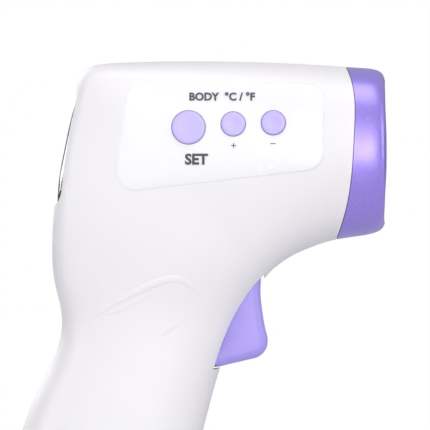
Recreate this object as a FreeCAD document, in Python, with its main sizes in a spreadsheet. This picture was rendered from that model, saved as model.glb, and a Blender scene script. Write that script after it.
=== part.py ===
import FreeCAD, Part
import Sketcher
import math
import os
import re

# Pistol-grip infrared thermometer.  +Z is up, +X leaves through the nose, +Y is the left side.
# The origin is the middle of the handle's flat foot.  Every length is in millimetres.

V = FreeCAD.Vector
X_AXIS, Y_AXIS, Z_AXIS = V(1, 0, 0), V(0, 1, 0), V(0, 0, 1)

# Driving sizes: alias, value, what it is.  "Above the neck" means above handle_length.
SIZES = (
    ("body_width", 40, "width of the head, side to side"),
    ("handle_length", 60, "foot to neck, the datum that the head rides on"),
    ("nose_reach", 79, "handle axis to the front of the nose"),
    ("wall", 2, "wall of the two housing halves"),
    ("foot_wall", 2.2, "wall across the foot of the handle"),
    ("beyond", 30, "how far a cutting tool runs past the surface"),
    ("parting_gap", 0.1, "line between the two housing halves"),
    ("seam_gap", 0.2, "line between the housing and the nose ring"),
    ("fit_gap", 0.15, "gap round a piece that drops into a recess"),
    ("move_gap", 0.3, "gap round a piece that moves"),
    ("run_gap", 0.06, "radial gap of a pin or plunger in its bore"),
    ("touch_gap", 0.1, "gap at rest between a pusher and what it pushes"),
    # nose and sensor
    ("rim", 3.8, "width of the nose ring seen from the front"),
    ("nose_height", 45, "height of the nose"),
    ("nose_middle", 70.6, "middle of the nose above the neck"),
    ("bore_corner", 13, "corner radius of the nose ring's bore"),
    ("ledge", 0.9, "step in the ring's bore that the front plate sits on"),
    ("plate_recess", 2.5, "front plate behind the rim"),
    ("plate_thick", 2, "front plate"),
    ("spigot", 4, "length of the ring's sleeve inside the housing"),
    ("sensor_rise", 70.5, "sensor axis above the neck"),
    ("cup_mouth", 9, "radius of the sensor cup's mouth"),
    ("cup_wall", 1.2, "wall of the sensor cup"),
    ("cup_depth", 12, "mouth to aperture"),
    ("cup_back", 0.3, "cup mouth behind the face of the plate"),
    ("aperture", 4, "radius of the cup's aperture"),
    ("lip", 0.8, "lip in front of the sensor can"),
    ("can_radius", 4.6, "sensor can"),
    ("can_length", 5, "sensor can"),
    ("pane_radius", 2.5, "filter window in the can"),
    ("pane_thick", 0.4, "filter window in the can"),
    ("lead_radius", 0.23, "sensor lead"),
    ("lead_circle", 2.54, "circle that the leads stand on"),
    ("lead_length", 3.4, "sensor lead"),
    ("sensor_board_side", 16, "square board behind the can"),
    # buttons and panel
    ("panel_proud", 0.35, "button panel above the housing"),
    ("panel_seat", 0.85, "recess that the panel lies in"),
    ("panel_corner", 5, "corner radius of the panel"),
    ("button_sink", 0.55, "side wall at the buttons, in from its widest"),
    ("button_proud", 1.35, "button face above the housing"),
    ("button_bevel", 0.5, "bevel round the button face"),
    ("button_travel", 0.4, "how far a button goes in"),
    ("flange_depth", 2.9, "retaining flange, in from the widest part of the wall"),
    ("flange_over", 0.8, "retaining flange past the button's side"),
    ("flange_thick", 0.75, "retaining flange"),
    ("stem_radius", 1.6, "stem behind a button"),
    ("settings_x", 26.6, "settings button"),
    ("settings_rise", 77, "settings button above the neck"),
    ("settings_radius", 4.4, "settings button"),
    ("plus_x", 38.4, "plus button"),
    ("plus_rise", 77.9, "plus button above the neck"),
    ("plus_radius", 3.2, "plus button"),
    ("minus_x", 49, "minus button"),
    ("minus_rise", 78.2, "minus button above the neck"),
    ("minus_radius", 3.2, "minus button"),
    ("switch_side", 6, "square tactile switch"),
    ("switch_height", 3.5, "tactile switch body"),
    ("plunger_radius", 1.2, "tactile switch plunger"),
    ("plunger_proud", 1.4, "plunger above the switch body"),
    ("plunger_inside", 1.2, "plunger inside the switch body"),
    # main board
    ("board_thick", 1.6, "every circuit board"),
    ("board_setback", 7, "main board behind the wall's inner face"),
    ("board_left", 8, "rear edge of the main board"),
    ("board_right", 57.4, "front edge of the main board"),
    ("board_low", 57.5, "lower edge of the main board above the neck"),
    ("board_high", 86, "upper edge of the main board above the neck"),
    # display, in a frame of its own that leans back with the rear face
    ("display_lean", 11.5, "lean of the display in degrees"),
    ("display_x", -6.8, "middle of the display on the rear face"),
    ("display_rise", 72.3, "middle of the display above the neck"),
    ("window_width", 28, "display window"),
    ("window_height", 31, "display window"),
    ("window_corner", 4, "corner radius of the display window"),
    ("window_depth", 1.7, "window face below the middle of the rear face"),
    ("window_thick", 1.5, "display window"),
    ("mask_thick", 0.15, "printed mask behind the window"),
    ("view_border", 2, "border of the view inside the window"),
    ("seat_border", 2.5, "seat round the window"),
    ("seat_thick", 1, "ledge behind the window"),
    ("glass_side", 3.5, "liquid crystal cell narrower than the window"),
    ("glass_end", 1, "liquid crystal cell shorter than the window"),
    ("glass_thick", 2, "liquid crystal cell"),
    ("light_thick", 2.6, "backlight and strips behind the cell"),
    ("strip_width", 1.8, "contact strip above and below the backlight"),
    ("frame_wall", 1, "frame round the cell"),
    # trigger
    ("trigger_width", 14, "trigger"),
    ("trigger_corner", 1.6, "edges of the trigger"),
    ("pivot_x", 42.5, "trigger pivot"),
    ("pivot_rise", 39.5, "trigger pivot above the neck"),
    ("pin_radius", 1, "trigger pin"),
    ("pin_half", 10.5, "half the length of the trigger pin"),
    ("pivot_boss", 2.4, "boss that holds the trigger pin"),
    ("scoop_radius", 30, "finger scoop in the trigger"),
    ("scoop_x", 76, "middle of the finger scoop's circle"),
    ("scoop_rise", 30, "middle of the finger scoop above the neck"),
    ("striker_x", 36.4, "flat on the back of the trigger"),
    ("striker_drop", 6, "trigger switch below the pivot"),
    ("trigger_board_height", 14, "board behind the trigger"),
    ("trigger_board_width", 18, "board behind the trigger"),
    ("rail", 1.5, "rail that holds the edge of the trigger board"),
    ("spring_rise", 20, "trigger spring above the neck"),
    ("spring_radius", 2.4, "trigger spring, to the middle of its wire"),
    ("spring_wire", 0.3, "radius of the spring wire"),
    ("spring_low", 27, "trigger spring, end on the rib"),
    ("spring_high", 36.5, "trigger spring, end in the trigger"),
    ("spring_turns", 5, "turns of the trigger spring"),
    # battery compartment
    ("cell_radius", 5.25, "AAA cell"),
    ("cell_length", 43.7, "AAA cell without its tip"),
    ("tip_radius", 1.9, "tip of the cell"),
    ("tip_length", 0.8, "tip of the cell"),
    ("cell_x", -4, "axes of the cells"),
    ("cell_gap", 0.3, "gap between the two cells"),
    ("cell_spread", "=cell_radius + cell_gap / 2", "axis of a cell beside the middle"),
    ("cell_room", 0.2, "gap round a cell in the tray"),
    ("tray_low", 3.2, "foot of the tray above the foot of the handle"),
    ("tray_wall", 1, "battery tray"),
    ("tray_open", 4, "tray wall behind the cell axes"),
    ("contact_thick", 0.4, "battery contact"),
    ("coil_length", 3.2, "battery spring pressed by its cell"),
    ("coil_radius", 3.2, "battery spring, to the middle of its wire"),
    ("coil_wire", 0.3, "radius of the battery spring's wire"),
    ("coil_turns", 3, "turns of a battery spring"),
    ("tab", 2.4, "solder tab in front of the tray"),
    ("tab_width", 3, "solder tab"),
    ("door_edge", -12, "side edge of the battery door"),
    ("door_drop", 5.5, "upper edge of the battery door below the neck"),
    ("door_corner", 5, "upper corner of the battery door"),
    ("tongue_x", -14.4, "outer face of the door's tongue"),
    ("tongue_thick", 1.2, "door tongue"),
    ("tongue_width", 8, "door tongue"),
    ("tongue_high", 3, "tongue above the door"),
    # screws
    ("screw_shank", 1.3, "housing screw"),
    ("screw_head", 2.4, "housing screw head"),
    ("screw_head_high", 1.6, "housing screw head"),
    ("screw_seat", 6, "seat of the screw head left of the middle"),
    ("screw_bite", 8, "screw right of the middle"),
    ("boss_radius", 3.1, "screw boss"),
    ("small_shank", 0.9, "board screw"),
    ("small_head", 1.7, "board screw head"),
    ("small_head_high", 1.2, "board screw head"),
    ("small_length", 6, "board screw under its head"),
    ("post_radius", 2.1, "post under the main board"),
    ("wire_radius", 0.55, "battery wire"),
    ("cable_radius", 0.85, "sensor and trigger cable"),
    ("cable_side", 1.5, "sensor cable right of the middle"),
    ("cable_drop", 5.5, "sensor cable below the middle of its board"),
    ("cable_run", 5.6, "straight run behind a board before the cable turns"),
    ("lead_side", 5, "trigger cable right of the middle"),
    ("lead_rise", 37, "trigger cable where it leaves its board, above the neck"),
    ("lead_turn", 50, "trigger cable where it turns up, above the neck"),
    ("lead_lap", 3, "end of the trigger cable on the main board"),
    ("sleeve_back", 11, "bare part of the ring behind the nose's front"),
    ("sleeve_front", 5, "sleeve's end inside the ring"),
    ("crystal_corner", 1.8, "rounded end of the crystal's can"),
    ("buzzer_radius", 5.5, "buzzer"),
    ("buzzer_thick", 5, "buzzer"),
    ("buzzer_hole", 1, "sound hole of the buzzer"),
    ("buzzer_floor", 4, "buzzer behind its sound hole"),
    ("ribbon_width", 8, "flat cable"),
    ("ribbon_thick", 0.3, "flat cable"),
    ("ribbon_bow", 1.6, "bow of the flat cable"),
    ("ribbon_stand", 1.2, "flat cable above the main board"),
    ("socket_width", 10, "connector on the main board"),
    ("socket_depth", 4, "connector on the main board"),
    ("socket_stand", 3, "connector inside the board's edge"),
    ("socket_height", 2.2, "connector on the main board"),
    ("plug_depth", 2.6, "connector behind the display's board"),
    ("plug_height", 3, "connector behind the display's board"),
    ("plug_width", 9, "connector behind the display's board"),
    ("wire_end", 16, "battery wires on the main board"),
)

# Places on the XZ plane: x, then the height above the neck.
HOUSING_SCREWS = ((60.6, 87.6), (10, 89.2), (57, 53), (1, 49), (20, 7), (11, -50))
BOARD_SCREWS = ((12, 83.2), (54.5, 83.2), (12, 61.2), (54.5, 61.2))
PANEL_CORNERS = ((6.8, 59.7), (62, 66.2), (62.4, 88.4), (10.8, 88.8))
TRIGGER_CORNERS = ((46, 40.5), (48.3, 16.7), (32.2, 13), (36.4, 28), (36.4, 38), (40, 43), (44.5, 43))
SLOT_CORNERS = ((28, 11.6), (60, 19), (60, 33.5), (46.7, 37), (46.7, 41.5), (40, 44.5), (28, 40))
SEAM = ((68.4, 93.4), (70.4, 86), (70.4, 76), (69.3, 61.1), (66, 47.7))
SPEAKER = (25, 79)
TRAY_RIBS = (-48, -14)
# Blocks soldered to the main board: name, x, height above the neck, length, height, thickness.
BOARD_BLOCKS = (("controller_chip", 36, 66, 10, 10, 1.6), ("amplifier_chip", 48.5, 71.5, 6, 5, 1.5))
CRYSTAL = (37.5, 78.5, 11, 4.6, 3.6)
# Round cans on it: name, x, height above the neck, radius, thickness.
BOARD_CANS = (("capacitor_1", 22, 64, 3, 6), ("capacitor_2", 45, 61.5, 2.5, 5))
# How nearly an edge lies along an axis to count as parallel to it.
ALMOST = 0.9
# Points of a spring's route to each turn.
COIL_POINTS = 12

# Stations of the skin, nose to foot.  Each is a flat section given by its outer end (the top, rear
# side) and its inner end (the underside, front side), in the middle plane: outer x, z, inner x, z,
# half width, corner radius outside and inside, and how far the sides belly out.
STATIONS = (
    (79.0, 147.6, 79.0, 113.6, 15.5, 15.0, 15.0, 0.3),
    (79.0, 150.9, 79.0, 110.9, 18.4, 17.5, 17.5, 0.4),
    (77.5, 152.9, 77.5, 109.1, 19.5, 18.5, 18.5, 0.4),
    (71.2, 153.1, 71.2, 108.1, 20.0, 18.5, 18.5, 0.5),
    (63.0, 153.7, 64.5, 107.3, 20.0, 17.5, 18.0, 0.6),
    (51.0, 154.4, 59.2, 105.3, 20.0, 16.0, 17.5, 0.8),
    (36.5, 154.8, 55.7, 103.9, 20.0, 14.0, 16.5, 1.0),
    (20.5, 154.8, 52.8, 102.3, 20.0, 12.0, 16.0, 1.2),
    (7.0, 154.4, 50.7, 100.8, 19.8, 10.0, 15.5, 1.2),
    (-0.8, 153.7, 49.1, 99.5, 19.6, 8.5, 15.0, 1.2),
    (-2.9, 149.9, 48.0, 98.4, 19.4, 8.0, 15.0, 1.2),
    (-4.4, 143.7, 47.1, 97.3, 19.2, 8.0, 15.0, 1.2),
    (-6.8, 133.3, 45.9, 96.0, 19.0, 8.0, 15.0, 1.2),
    (-8.8, 120.0, 44.5, 94.3, 18.6, 8.0, 15.0, 1.2),
    (-10.0, 107.2, 43.1, 92.0, 17.8, 9.0, 15.0, 1.2),
    (-9.6, 95.7, 41.2, 88.8, 16.6, 10.0, 14.5, 1.0),
    (-6.3, 86.9, 39.2, 84.5, 15.8, 11.0, 14.5, 0.8),
    (-8.2, 77.3, 37.1, 79.2, 15.6, 12.0, 14.5, 0.8),
    (-13.7, 67.2, 34.4, 72.0, 15.9, 13.0, 14.5, 0.6),
    (-18.4, 56.0, 31.2, 59.7, 16.3, 14.0, 15.0, 0.5),
    (-21.1, 41.1, 26.7, 42.1, 16.3, 14.0, 15.0, 0.5),
    (-20.3, 21.9, 22.1, 21.9, 15.9, 14.0, 14.5, 0.5),
    (-17.9, 6.4, 19.2, 6.4, 15.4, 13.5, 13.5, 0.5),
    (-17.1, 1.1, 18.1, 1.1, 14.9, 13.0, 13.0, 0.4),
    (-15.5, 0.0, 16.5, 0.0, 13.6, 12.0, 12.0, 0.3),
    (-11.7, 0.0, 12.8, 0.0, 10.0, 8.5, 8.5, 0.2),
)
# Sizes that the stations are written at; a change of the driving sizes stretches them from there.
DRAWN_WIDTH, DRAWN_HANDLE, DRAWN_REACH, NOSE_START = 40.0, 60.0, 79.0, 50.0

doc = FreeCAD.newDocument("Thermometer")
sheet = doc.addObject("Spreadsheet::Sheet", "Sizes")


def spots(name, places):
    """Sheet rows for a list of places on the XZ plane."""
    for number, place in enumerate(places, 1):
        for axis, value in zip(("x", "rise"), place):
            yield ("%s_%d_%s" % (name, number, axis), value, "%s %d" % (name, number))


ROWS = list(SIZES)
ROWS += spots("housing_screw", HOUSING_SCREWS)
ROWS += spots("board_screw", BOARD_SCREWS)
ROWS += spots("panel", PANEL_CORNERS)
ROWS += spots("trigger", TRIGGER_CORNERS)
ROWS += spots("slot", SLOT_CORNERS)
for row, (alias, value, meaning) in enumerate(ROWS, 1):
    sheet.set("A%d" % row, meaning)
    sheet.set("B%d" % row, str(value))
    sheet.setAlias("B%d" % row, alias)
doc.recompute()
ALIASES = {alias for alias, value, meaning in ROWS}
NODES = []


def bound(formula):
    """A size formula with each alias turned into a reference to the sheet."""
    def reference(match):
        word = match.group()
        return "Sizes." + word if word in ALIASES else word
    return re.sub(r"[A-Za-z_]\w*", reference, str(formula))


def bind(thing, **formulas):
    for name, formula in formulas.items():
        thing.setExpression(name, bound(formula))
    return thing


def place(thing, x, y, z):
    for axis, formula in zip("xyz", (x, y, z)):
        thing.setExpression("Placement.Base." + axis, bound(formula))
    return thing


def rise(formula):
    """A height above the neck."""
    return "handle_length + (%s)" % formula


# Names that several pieces share.
BUTTONS = ("settings", "plus", "minus")
HALF = "body_width / 2"
DOOR_TOP = "handle_length - door_drop"
SENSOR_Z = rise("sensor_rise")
BOARD_Y = "(wall + board_setback - %s)" % HALF
CUP_X = "(nose_reach - plate_recess - cup_back)"
CAN_X = "(%s - cup_depth - lip - run_gap)" % CUP_X


def box(name, x, y, z):
    """A box between a low and a high formula along each axis."""
    thing = doc.addObject("Part::Box", name)
    for side, (low, high) in zip(("Length", "Width", "Height"), (x, y, z)):
        thing.setExpression(side, bound("(%s) - (%s)" % (high, low)))
    return place(thing, x[0], y[0], z[0])


ALONG = {
    "x": FreeCAD.Rotation(Y_AXIS, 90),
    "y": FreeCAD.Rotation(X_AXIS, -90),
    "z": FreeCAD.Rotation(),
}


def rod(name, axis, radius, low, high, first, second):
    """A cylinder along an axis, low to high, centred on the two other coordinates."""
    thing = doc.addObject("Part::Cylinder", name)
    thing.Placement = FreeCAD.Placement(V(), ALONG[axis])
    bind(thing, Radius=radius, Height="(%s) - (%s)" % (high, low))
    spot = {"x": (low, first, second), "y": (first, low, second), "z": (first, second, low)}[axis]
    return place(thing, *spot)


def plane_of(body, role):
    return [feature for feature in body.Origin.OriginFeatures if feature.Role == role][0]


def outline(body, role, corners):
    """A closed polygon on one of the body's planes, every corner held by two bound distances."""
    sketch = body.newObject("Sketcher::SketchObject", body.Name + "_outline")
    sketch.AttachmentSupport = [(plane_of(body, role), "")]
    sketch.MapMode = "FlatFace"
    turn = 2 * math.pi / len(corners)
    ring = [V(10 * math.cos(turn * k), 10 * math.sin(turn * k), 0) for k in range(len(corners))]
    for k, start in enumerate(ring):
        sketch.addGeometry(Part.LineSegment(start, ring[(k + 1) % len(ring)]))
    for k in range(len(ring)):
        sketch.addConstraint(Sketcher.Constraint("Coincident", k, 2, (k + 1) % len(ring), 1))
    for k, (first, second) in enumerate(corners):
        for kind, formula in (("DistanceX", first), ("DistanceY", second)):
            number = sketch.addConstraint(Sketcher.Constraint(kind, -1, 1, k, 1, 1.0))
            sketch.setExpression("Constraints[%d]" % number, bound(formula))
    return sketch


PLANES = {"y": "XZ_Plane", "x": "YZ_Plane", "z": "XY_Plane"}


def prism(name, axis, corners, low, high, radius=None):
    """A padded polygon along an axis, its long edges rounded when a radius is given."""
    body = doc.addObject("PartDesign::Body", name)
    pad = body.newObject("PartDesign::Pad", name + "_pad")
    sketch = outline(body, PLANES[axis], corners)
    body.Tip = pad
    pad.Profile = sketch
    bind(pad, Length="(%s) - (%s)" % (high, low))
    spot = {"x": (low, 0, 0), "y": (0, high, 0), "z": (0, 0, low)}[axis]
    place(body, *spot)
    if radius is not None:
        doc.recompute()
        direction = {"x": X_AXIS, "y": Y_AXIS, "z": Z_AXIS}[axis]
        long_edges = ["Edge%d" % number for number, edge in enumerate(pad.Shape.Edges, 1)
                      if abs((edge.valueAt(edge.LastParameter) - edge.valueAt(edge.FirstParameter))
                             .normalize().dot(direction)) > 0.99]
        fillet = body.newObject("PartDesign::Fillet", name + "_fillet")
        fillet.Base = (pad, long_edges)
        bind(fillet, Radius=radius)
    return body


def turned(name, axis, profile, x, y, z):
    """A profile of (along, radius) corners turned about the X or Y axis through a point."""
    body = doc.addObject("PartDesign::Body", name)
    if axis == "x":
        sketch = outline(body, "XZ_Plane", profile)
    else:
        sketch = outline(body, "XY_Plane", [(radius, along) for along, radius in profile])
    turning = body.newObject("PartDesign::Revolution", name + "_turning")
    turning.Profile = sketch
    turning.ReferenceAxis = (sketch, ["H_Axis" if axis == "x" else "V_Axis"])
    body.Tip = turning
    return place(body, x, y, z)


def fuse(name, things):
    thing = doc.addObject("Part::MultiFuse", name)
    thing.Shapes = things
    return thing


def common(name, first, second):
    thing = doc.addObject("Part::MultiCommon", name)
    thing.Shapes = [first, second]
    return thing


def cut(name, base, tools):
    thing = doc.addObject("Part::Cut", name)
    thing.Base = base
    thing.Tool = tools[0] if len(tools) == 1 else fuse(name + "_tools", tools)
    return thing


def node(name, thing):
    """Marks a finished sub-part: its label is the name of its file."""
    thing.Label = name
    NODES.append(thing)
    return thing


def feature(name, shape, spot=None, rotation=None):
    thing = doc.addObject("Part::Feature", name)
    thing.Shape = shape
    thing.Placement = FreeCAD.Placement(spot or V(), rotation or FreeCAD.Rotation())
    return thing


# ---- the skin: a freeform surface, so it is made with Part's own functions ----

def stretched(x, z):
    """A point of the skin moved with the driving sizes: handle longer, head lifted, nose further."""
    lift = (sheet.handle_length - DRAWN_HANDLE) * min(1.0, z / DRAWN_HANDLE)
    share = (x - NOSE_START) / (DRAWN_REACH - NOSE_START)
    forward = (sheet.nose_reach - DRAWN_REACH) * min(1.0, max(0.0, share))
    return x + forward, z + lift


def section_poles(station, inset, side):
    """Control points of one station's half section, with one mirrored point past each end."""
    outer_x, outer_z, inner_x, inner_z, half, outer_r, inner_r, belly = station
    outer_x, outer_z = stretched(outer_x, outer_z)
    inner_x, inner_z = stretched(inner_x, inner_z)
    half *= sheet.body_width / DRAWN_WIDTH
    span = math.hypot(outer_x - inner_x, outer_z - inner_z)
    along = V((outer_x - inner_x) / span, 0, (outer_z - inner_z) / span)
    middle = V((outer_x + inner_x) / 2, 0, (outer_z + inner_z) / 2)
    reach = span / 2 - inset
    half -= inset
    outer_r = max(outer_r - inset, 0.5)
    inner_r = max(inner_r - inset, 0.5)
    flank = half - belly
    profile = [
        (reach, 0),
        (reach, flank - 0.8 * outer_r),
        (reach - 0.24 * outer_r, flank - 0.24 * outer_r),
        (reach - 0.8 * outer_r, flank),
        (0.4 * (inner_r - outer_r), half + belly / 2),
        (0.8 * inner_r - reach, flank),
        (0.24 * inner_r - reach, flank - 0.24 * inner_r),
        (-reach, flank - 0.8 * inner_r),
        (-reach, 0),
    ]
    first, last = profile[1], profile[-2]
    profile = [(first[0], -first[1])] + profile + [(last[0], -last[1])]
    return [middle + along * s + Y_AXIS * (side * y) for s, y in profile]


def half_skin(inset, side):
    """One half of the body's skin, moved inwards by inset, as a solid closed on the middle plane."""
    poles = [section_poles(station, inset, side) for station in STATIONS]
    rows, columns = len(poles), len(poles[0])
    surface = Part.BSplineSurface()
    surface.buildFromPolesMultsKnots(
        poles, [4] + [1] * (rows - 4) + [4], [1] * (columns + 4),
        list(range(rows - 2)), list(range(columns + 4)), False, False, 3, 3)
    surface.segment(0, rows - 3, 3, columns)
    u_low, u_high, v_low, v_high = surface.bounds()
    outer, inner = surface.vIso(v_low).toShape(), surface.vIso(v_high).toShape()
    nose, foot = surface.uIso(u_low).toShape(), surface.uIso(u_high).toShape()
    nose_line = Part.makeLine(surface.value(u_low, v_low), surface.value(u_low, v_high))
    foot_line = Part.makeLine(surface.value(u_high, v_low), surface.value(u_high, v_high))
    loops = ([nose, nose_line], [foot, foot_line], [outer, foot_line, inner, nose_line])
    faces = [Part.Face(Part.Wire(Part.__sortEdges__(loop))) for loop in loops]
    shell = Part.makeShell([surface.toShape()] + faces)
    shell.sewShape()
    solid = Part.Solid(shell)
    if solid.Volume < 0:
        solid.reverse()
    return solid


def whole_skin(inset):
    return half_skin(inset, 1).fuse(half_skin(inset, -1))


def front_region(shift):
    """Everything in front of the seam between the housing and the nose ring."""
    points = [V(x - DRAWN_REACH + sheet.nose_reach + shift, -sheet.beyond, sheet.handle_length + z)
              for x, z in SEAM]
    curve = Part.BSplineCurve()
    curve.interpolate(points)
    top, low = points[0], points[-1]
    ahead = sheet.nose_reach + sheet.beyond
    corners = [low, V(low.x, low.y, low.z - sheet.beyond), V(ahead, low.y, low.z - sheet.beyond),
               V(ahead, low.y, top.z + sheet.beyond), V(top.x, low.y, top.z + sheet.beyond), top]
    wire = Part.Wire([curve.toShape()] + Part.makePolygon(corners).Edges)
    return Part.Face(wire).extrude(V(0, 2 * sheet.beyond, 0))


def route(points):
    """Straight runs joined by tangent arcs, each arc as large as its two runs allow."""
    edges = []
    start = points[0]
    for before, corner, after in zip(points, points[1:], points[2:]):
        back, ahead = before - corner, after - corner
        shorter = min(back.Length, ahead.Length)
        back.normalize()
        ahead.normalize()
        half_turn = (math.pi - back.getAngle(ahead)) / 2
        reach = 0.45 * shorter
        radius = reach / math.tan(half_turn)
        bisector = (back + ahead).normalize()
        middle = corner + bisector * (radius / math.cos(half_turn) - radius)
        begin, end = corner + back * reach, corner + ahead * reach
        edges.append(Part.makeLine(start, begin))
        edges.append(Part.Arc(begin, middle, end).toShape())
        start = end
    edges.append(Part.makeLine(start, points[-1]))
    return Part.Wire(edges)


def tube(points, radius):
    """A wire or cable of one thickness along a route."""
    path = route(points)
    profile = Part.Wire(Part.makeCircle(radius, points[0], points[1] - points[0]))
    return path.makePipeShell([profile], True, False)


def coil(radius, wire, length, turns):
    """A spring along +Z from the origin: a wire route with a few points to each turn."""
    last = turns * COIL_POINTS
    step = 2 * math.pi / COIL_POINTS
    climb = (length - 2 * wire) / last
    points = [V(radius * math.cos(step * i), radius * math.sin(step * i), wire + climb * i)
              for i in range(last + 1)]
    return tube(points, wire)


# ---- the two housing halves, the nose ring and the battery door ----

def shell_half(name, side):
    """Skin less cavity, with a wall left across the foot."""
    skin = feature(name + "_skin", half_skin(0, side))
    cavity = cut(name + "_cavity", feature(name + "_inside", half_skin(sheet.wall, side)),
                 [box(name + "_foot", ("-beyond - nose_reach", "nose_reach + beyond"),
                      ("-beyond", "beyond"), ("-beyond", "foot_wall"))])
    return cut(name + "_shell", skin, [cavity])


def kept_inside(name, side, things):
    """Bosses and ribs trimmed to half the wall, so that none shows outside."""
    liner = feature(name + "_liner", half_skin(sheet.wall / 2, side))
    return common(name + "_inner", fuse(name + "_ribs", things), liner)


def leaning(thing, depth, width, height):
    """Puts a piece of the display into the frame that leans with the rear face."""
    thing.Placement = FreeCAD.Placement(V(), FreeCAD.Rotation(Y_AXIS, 1))
    bind(thing, **{"Placement.Rotation.Angle": "display_lean"})
    return place(
        thing,
        "display_x + (%s) * cos(display_lean) - (%s) / 2 * sin(display_lean)" % (depth, height),
        "-(%s) / 2" % width,
        "handle_length + display_rise - (%s) * sin(display_lean) - (%s) / 2 * cos(display_lean)"
        % (depth, height))


def leaning_box(name, low, high, width, height):
    """A slab of the display stack between two depths below the rear face."""
    thing = box(name, (0, "(%s) - (%s)" % (high, low)), (0, width), (0, height))
    return leaning(thing, low, width, height)


def leaning_slab(name, low, high, width, height, corner):
    """The same with rounded corners."""
    corners = ((0, 0), (width, 0), (width, height), (0, height))
    return leaning(prism(name, "x", corners, 0, "(%s) - (%s)" % (high, low), corner), low, width, height)


WINDOW_BACK = "(window_depth + window_thick)"
LEDGE_BACK = "(%s + mask_thick + seat_thick)" % WINDOW_BACK
CELL_FRONT = "(%s + fit_gap)" % LEDGE_BACK
LIGHT_FRONT = "(%s + glass_thick)" % CELL_FRONT
CIRCUIT_FRONT = "(%s + light_thick)" % LIGHT_FRONT
CIRCUIT_BACK = "(%s + board_thick)" % CIRCUIT_FRONT
CELL_WIDE = "(window_width - glass_side)"
CELL_HIGH = "(window_height - glass_end)"


def window_tools(name):
    """The window's recess and the smaller view behind it."""
    recess = leaning_slab(name + "_recess", "-beyond", "%s + mask_thick" % WINDOW_BACK,
                          "window_width + 2 * fit_gap", "window_height + 2 * fit_gap", "window_corner")
    view = leaning_box(name + "_view", WINDOW_BACK, "%s + 1" % LEDGE_BACK,
                       "window_width - 2 * view_border", "window_height - 2 * view_border")
    return [recess, view, frame_block(name + "_frame_room")]


def frame_block(name):
    """Outer block of the frame round the cell, which the housing is relieved for."""
    return leaning_box(name, CELL_FRONT, CIRCUIT_BACK, CELL_WIDE + " + 2 * frame_wall + 2 * fit_gap",
                       CELL_HIGH + " + 2 * frame_wall + 2 * fit_gap")


def button_hole(name, button):
    return rod(name, "y", button + "_radius + move_gap", "-beyond", "0",
               button + "_x", rise(button + "_rise"))


def screw_boss(name, number, side):
    low, high = ("parting_gap / 2", HALF) if side > 0 else ("-" + HALF, "-parting_gap / 2")
    return rod(name, "y", "boss_radius", low, high,
               "housing_screw_%d_x" % number, rise("housing_screw_%d_rise" % number))


def pivot_boss(name, side):
    inner = "(trigger_width / 2 + move_gap)"
    low, high = (inner, HALF) if side > 0 else ("-" + HALF, "-" + inner)
    return rod(name, "y", "pivot_boss", low, high, "pivot_x", rise("pivot_rise"))


def rail(name, side):
    """Grooved rail for one edge of the board behind the trigger."""
    inner = "(trigger_board_width / 2 - rail)"
    low, high = (inner, HALF) if side > 0 else ("-" + HALF, "-" + inner)
    back = "(striker_x - touch_gap - plunger_proud - switch_height - board_thick)"
    span = (rise("pivot_rise - striker_drop - trigger_board_height / 2"),
            rise("pivot_rise - striker_drop + trigger_board_height / 2"))
    block = box(name + "_block", (back + " - rail", back + " + board_thick + rail"), (low, high), span)
    edge = "(trigger_board_width / 2 + touch_gap)"
    groove = box(name + "_groove", (back, back + " + board_thick"), ("-" + edge, edge),
                 (span[0] + " - 1", span[1] + " + 1"))
    return cut(name, block, [groove])


def tray_ribs(name, side):
    """Ribs that the front of the battery tray rests on."""
    low, high = ("parting_gap / 2", HALF) if side > 0 else ("-" + HALF, "-parting_gap / 2")
    front = "(cell_x + cell_radius + cell_room + tray_wall)"
    return [box("%s_%d" % (name, number), (front, front + " + 2"), (low, high),
                (rise(height), rise("%s + rail" % height)))
            for number, height in enumerate(TRAY_RIBS, 1)]


def shared_ribs(name, side):
    """What both halves carry inside."""
    seat = leaning_box(name + "_seat", "0", LEDGE_BACK, "window_width + 2 * seat_border",
                       "window_height + 2 * seat_border")
    things = [screw_boss("%s_boss_%d" % (name, number), number, side)
              for number in range(1, len(HOUSING_SCREWS) + 1)]
    return things + [seat, pivot_boss(name + "_pivot", side), rail(name + "_rail", side)] \
        + tray_ribs(name + "_rib", side)


def shared_cuts(name):
    """What is cut out of both halves."""
    slot = [("slot_%d_x" % number, rise("slot_%d_rise" % number))
            for number in range(1, len(SLOT_CORNERS) + 1)]
    slot_half = "(trigger_width / 2 + move_gap)"
    return window_tools(name) + [
        tray_block(name + "_tray_room"),
        prism(name + "_slot", "y", slot, "-" + slot_half, slot_half),
        feature(name + "_front", front_region(-sheet.seam_gap / 2)),
        prism(name + "_doorway", "y", door_corners("0"), "-beyond", "beyond", "door_corner"),
        box(name + "_parting", ("-beyond - nose_reach", "nose_reach + beyond"),
            ("-parting_gap / 2", "parting_gap / 2"), ("-beyond", "handle_length * 2 + beyond * 2")),
        rod(name + "_pin", "y", "pin_radius + run_gap / 2", "-pin_half", "pin_half",
            "pivot_x", rise("pivot_rise")),
    ]


def door_corners(gap):
    """Side view of the battery door, drawn in by a gap."""
    edge, top = "door_edge - (%s)" % gap, DOOR_TOP + " - (%s)" % gap
    return ((edge, "-beyond"), (edge, top), ("-beyond * 2", top), ("-beyond * 2", "-beyond"))


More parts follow.
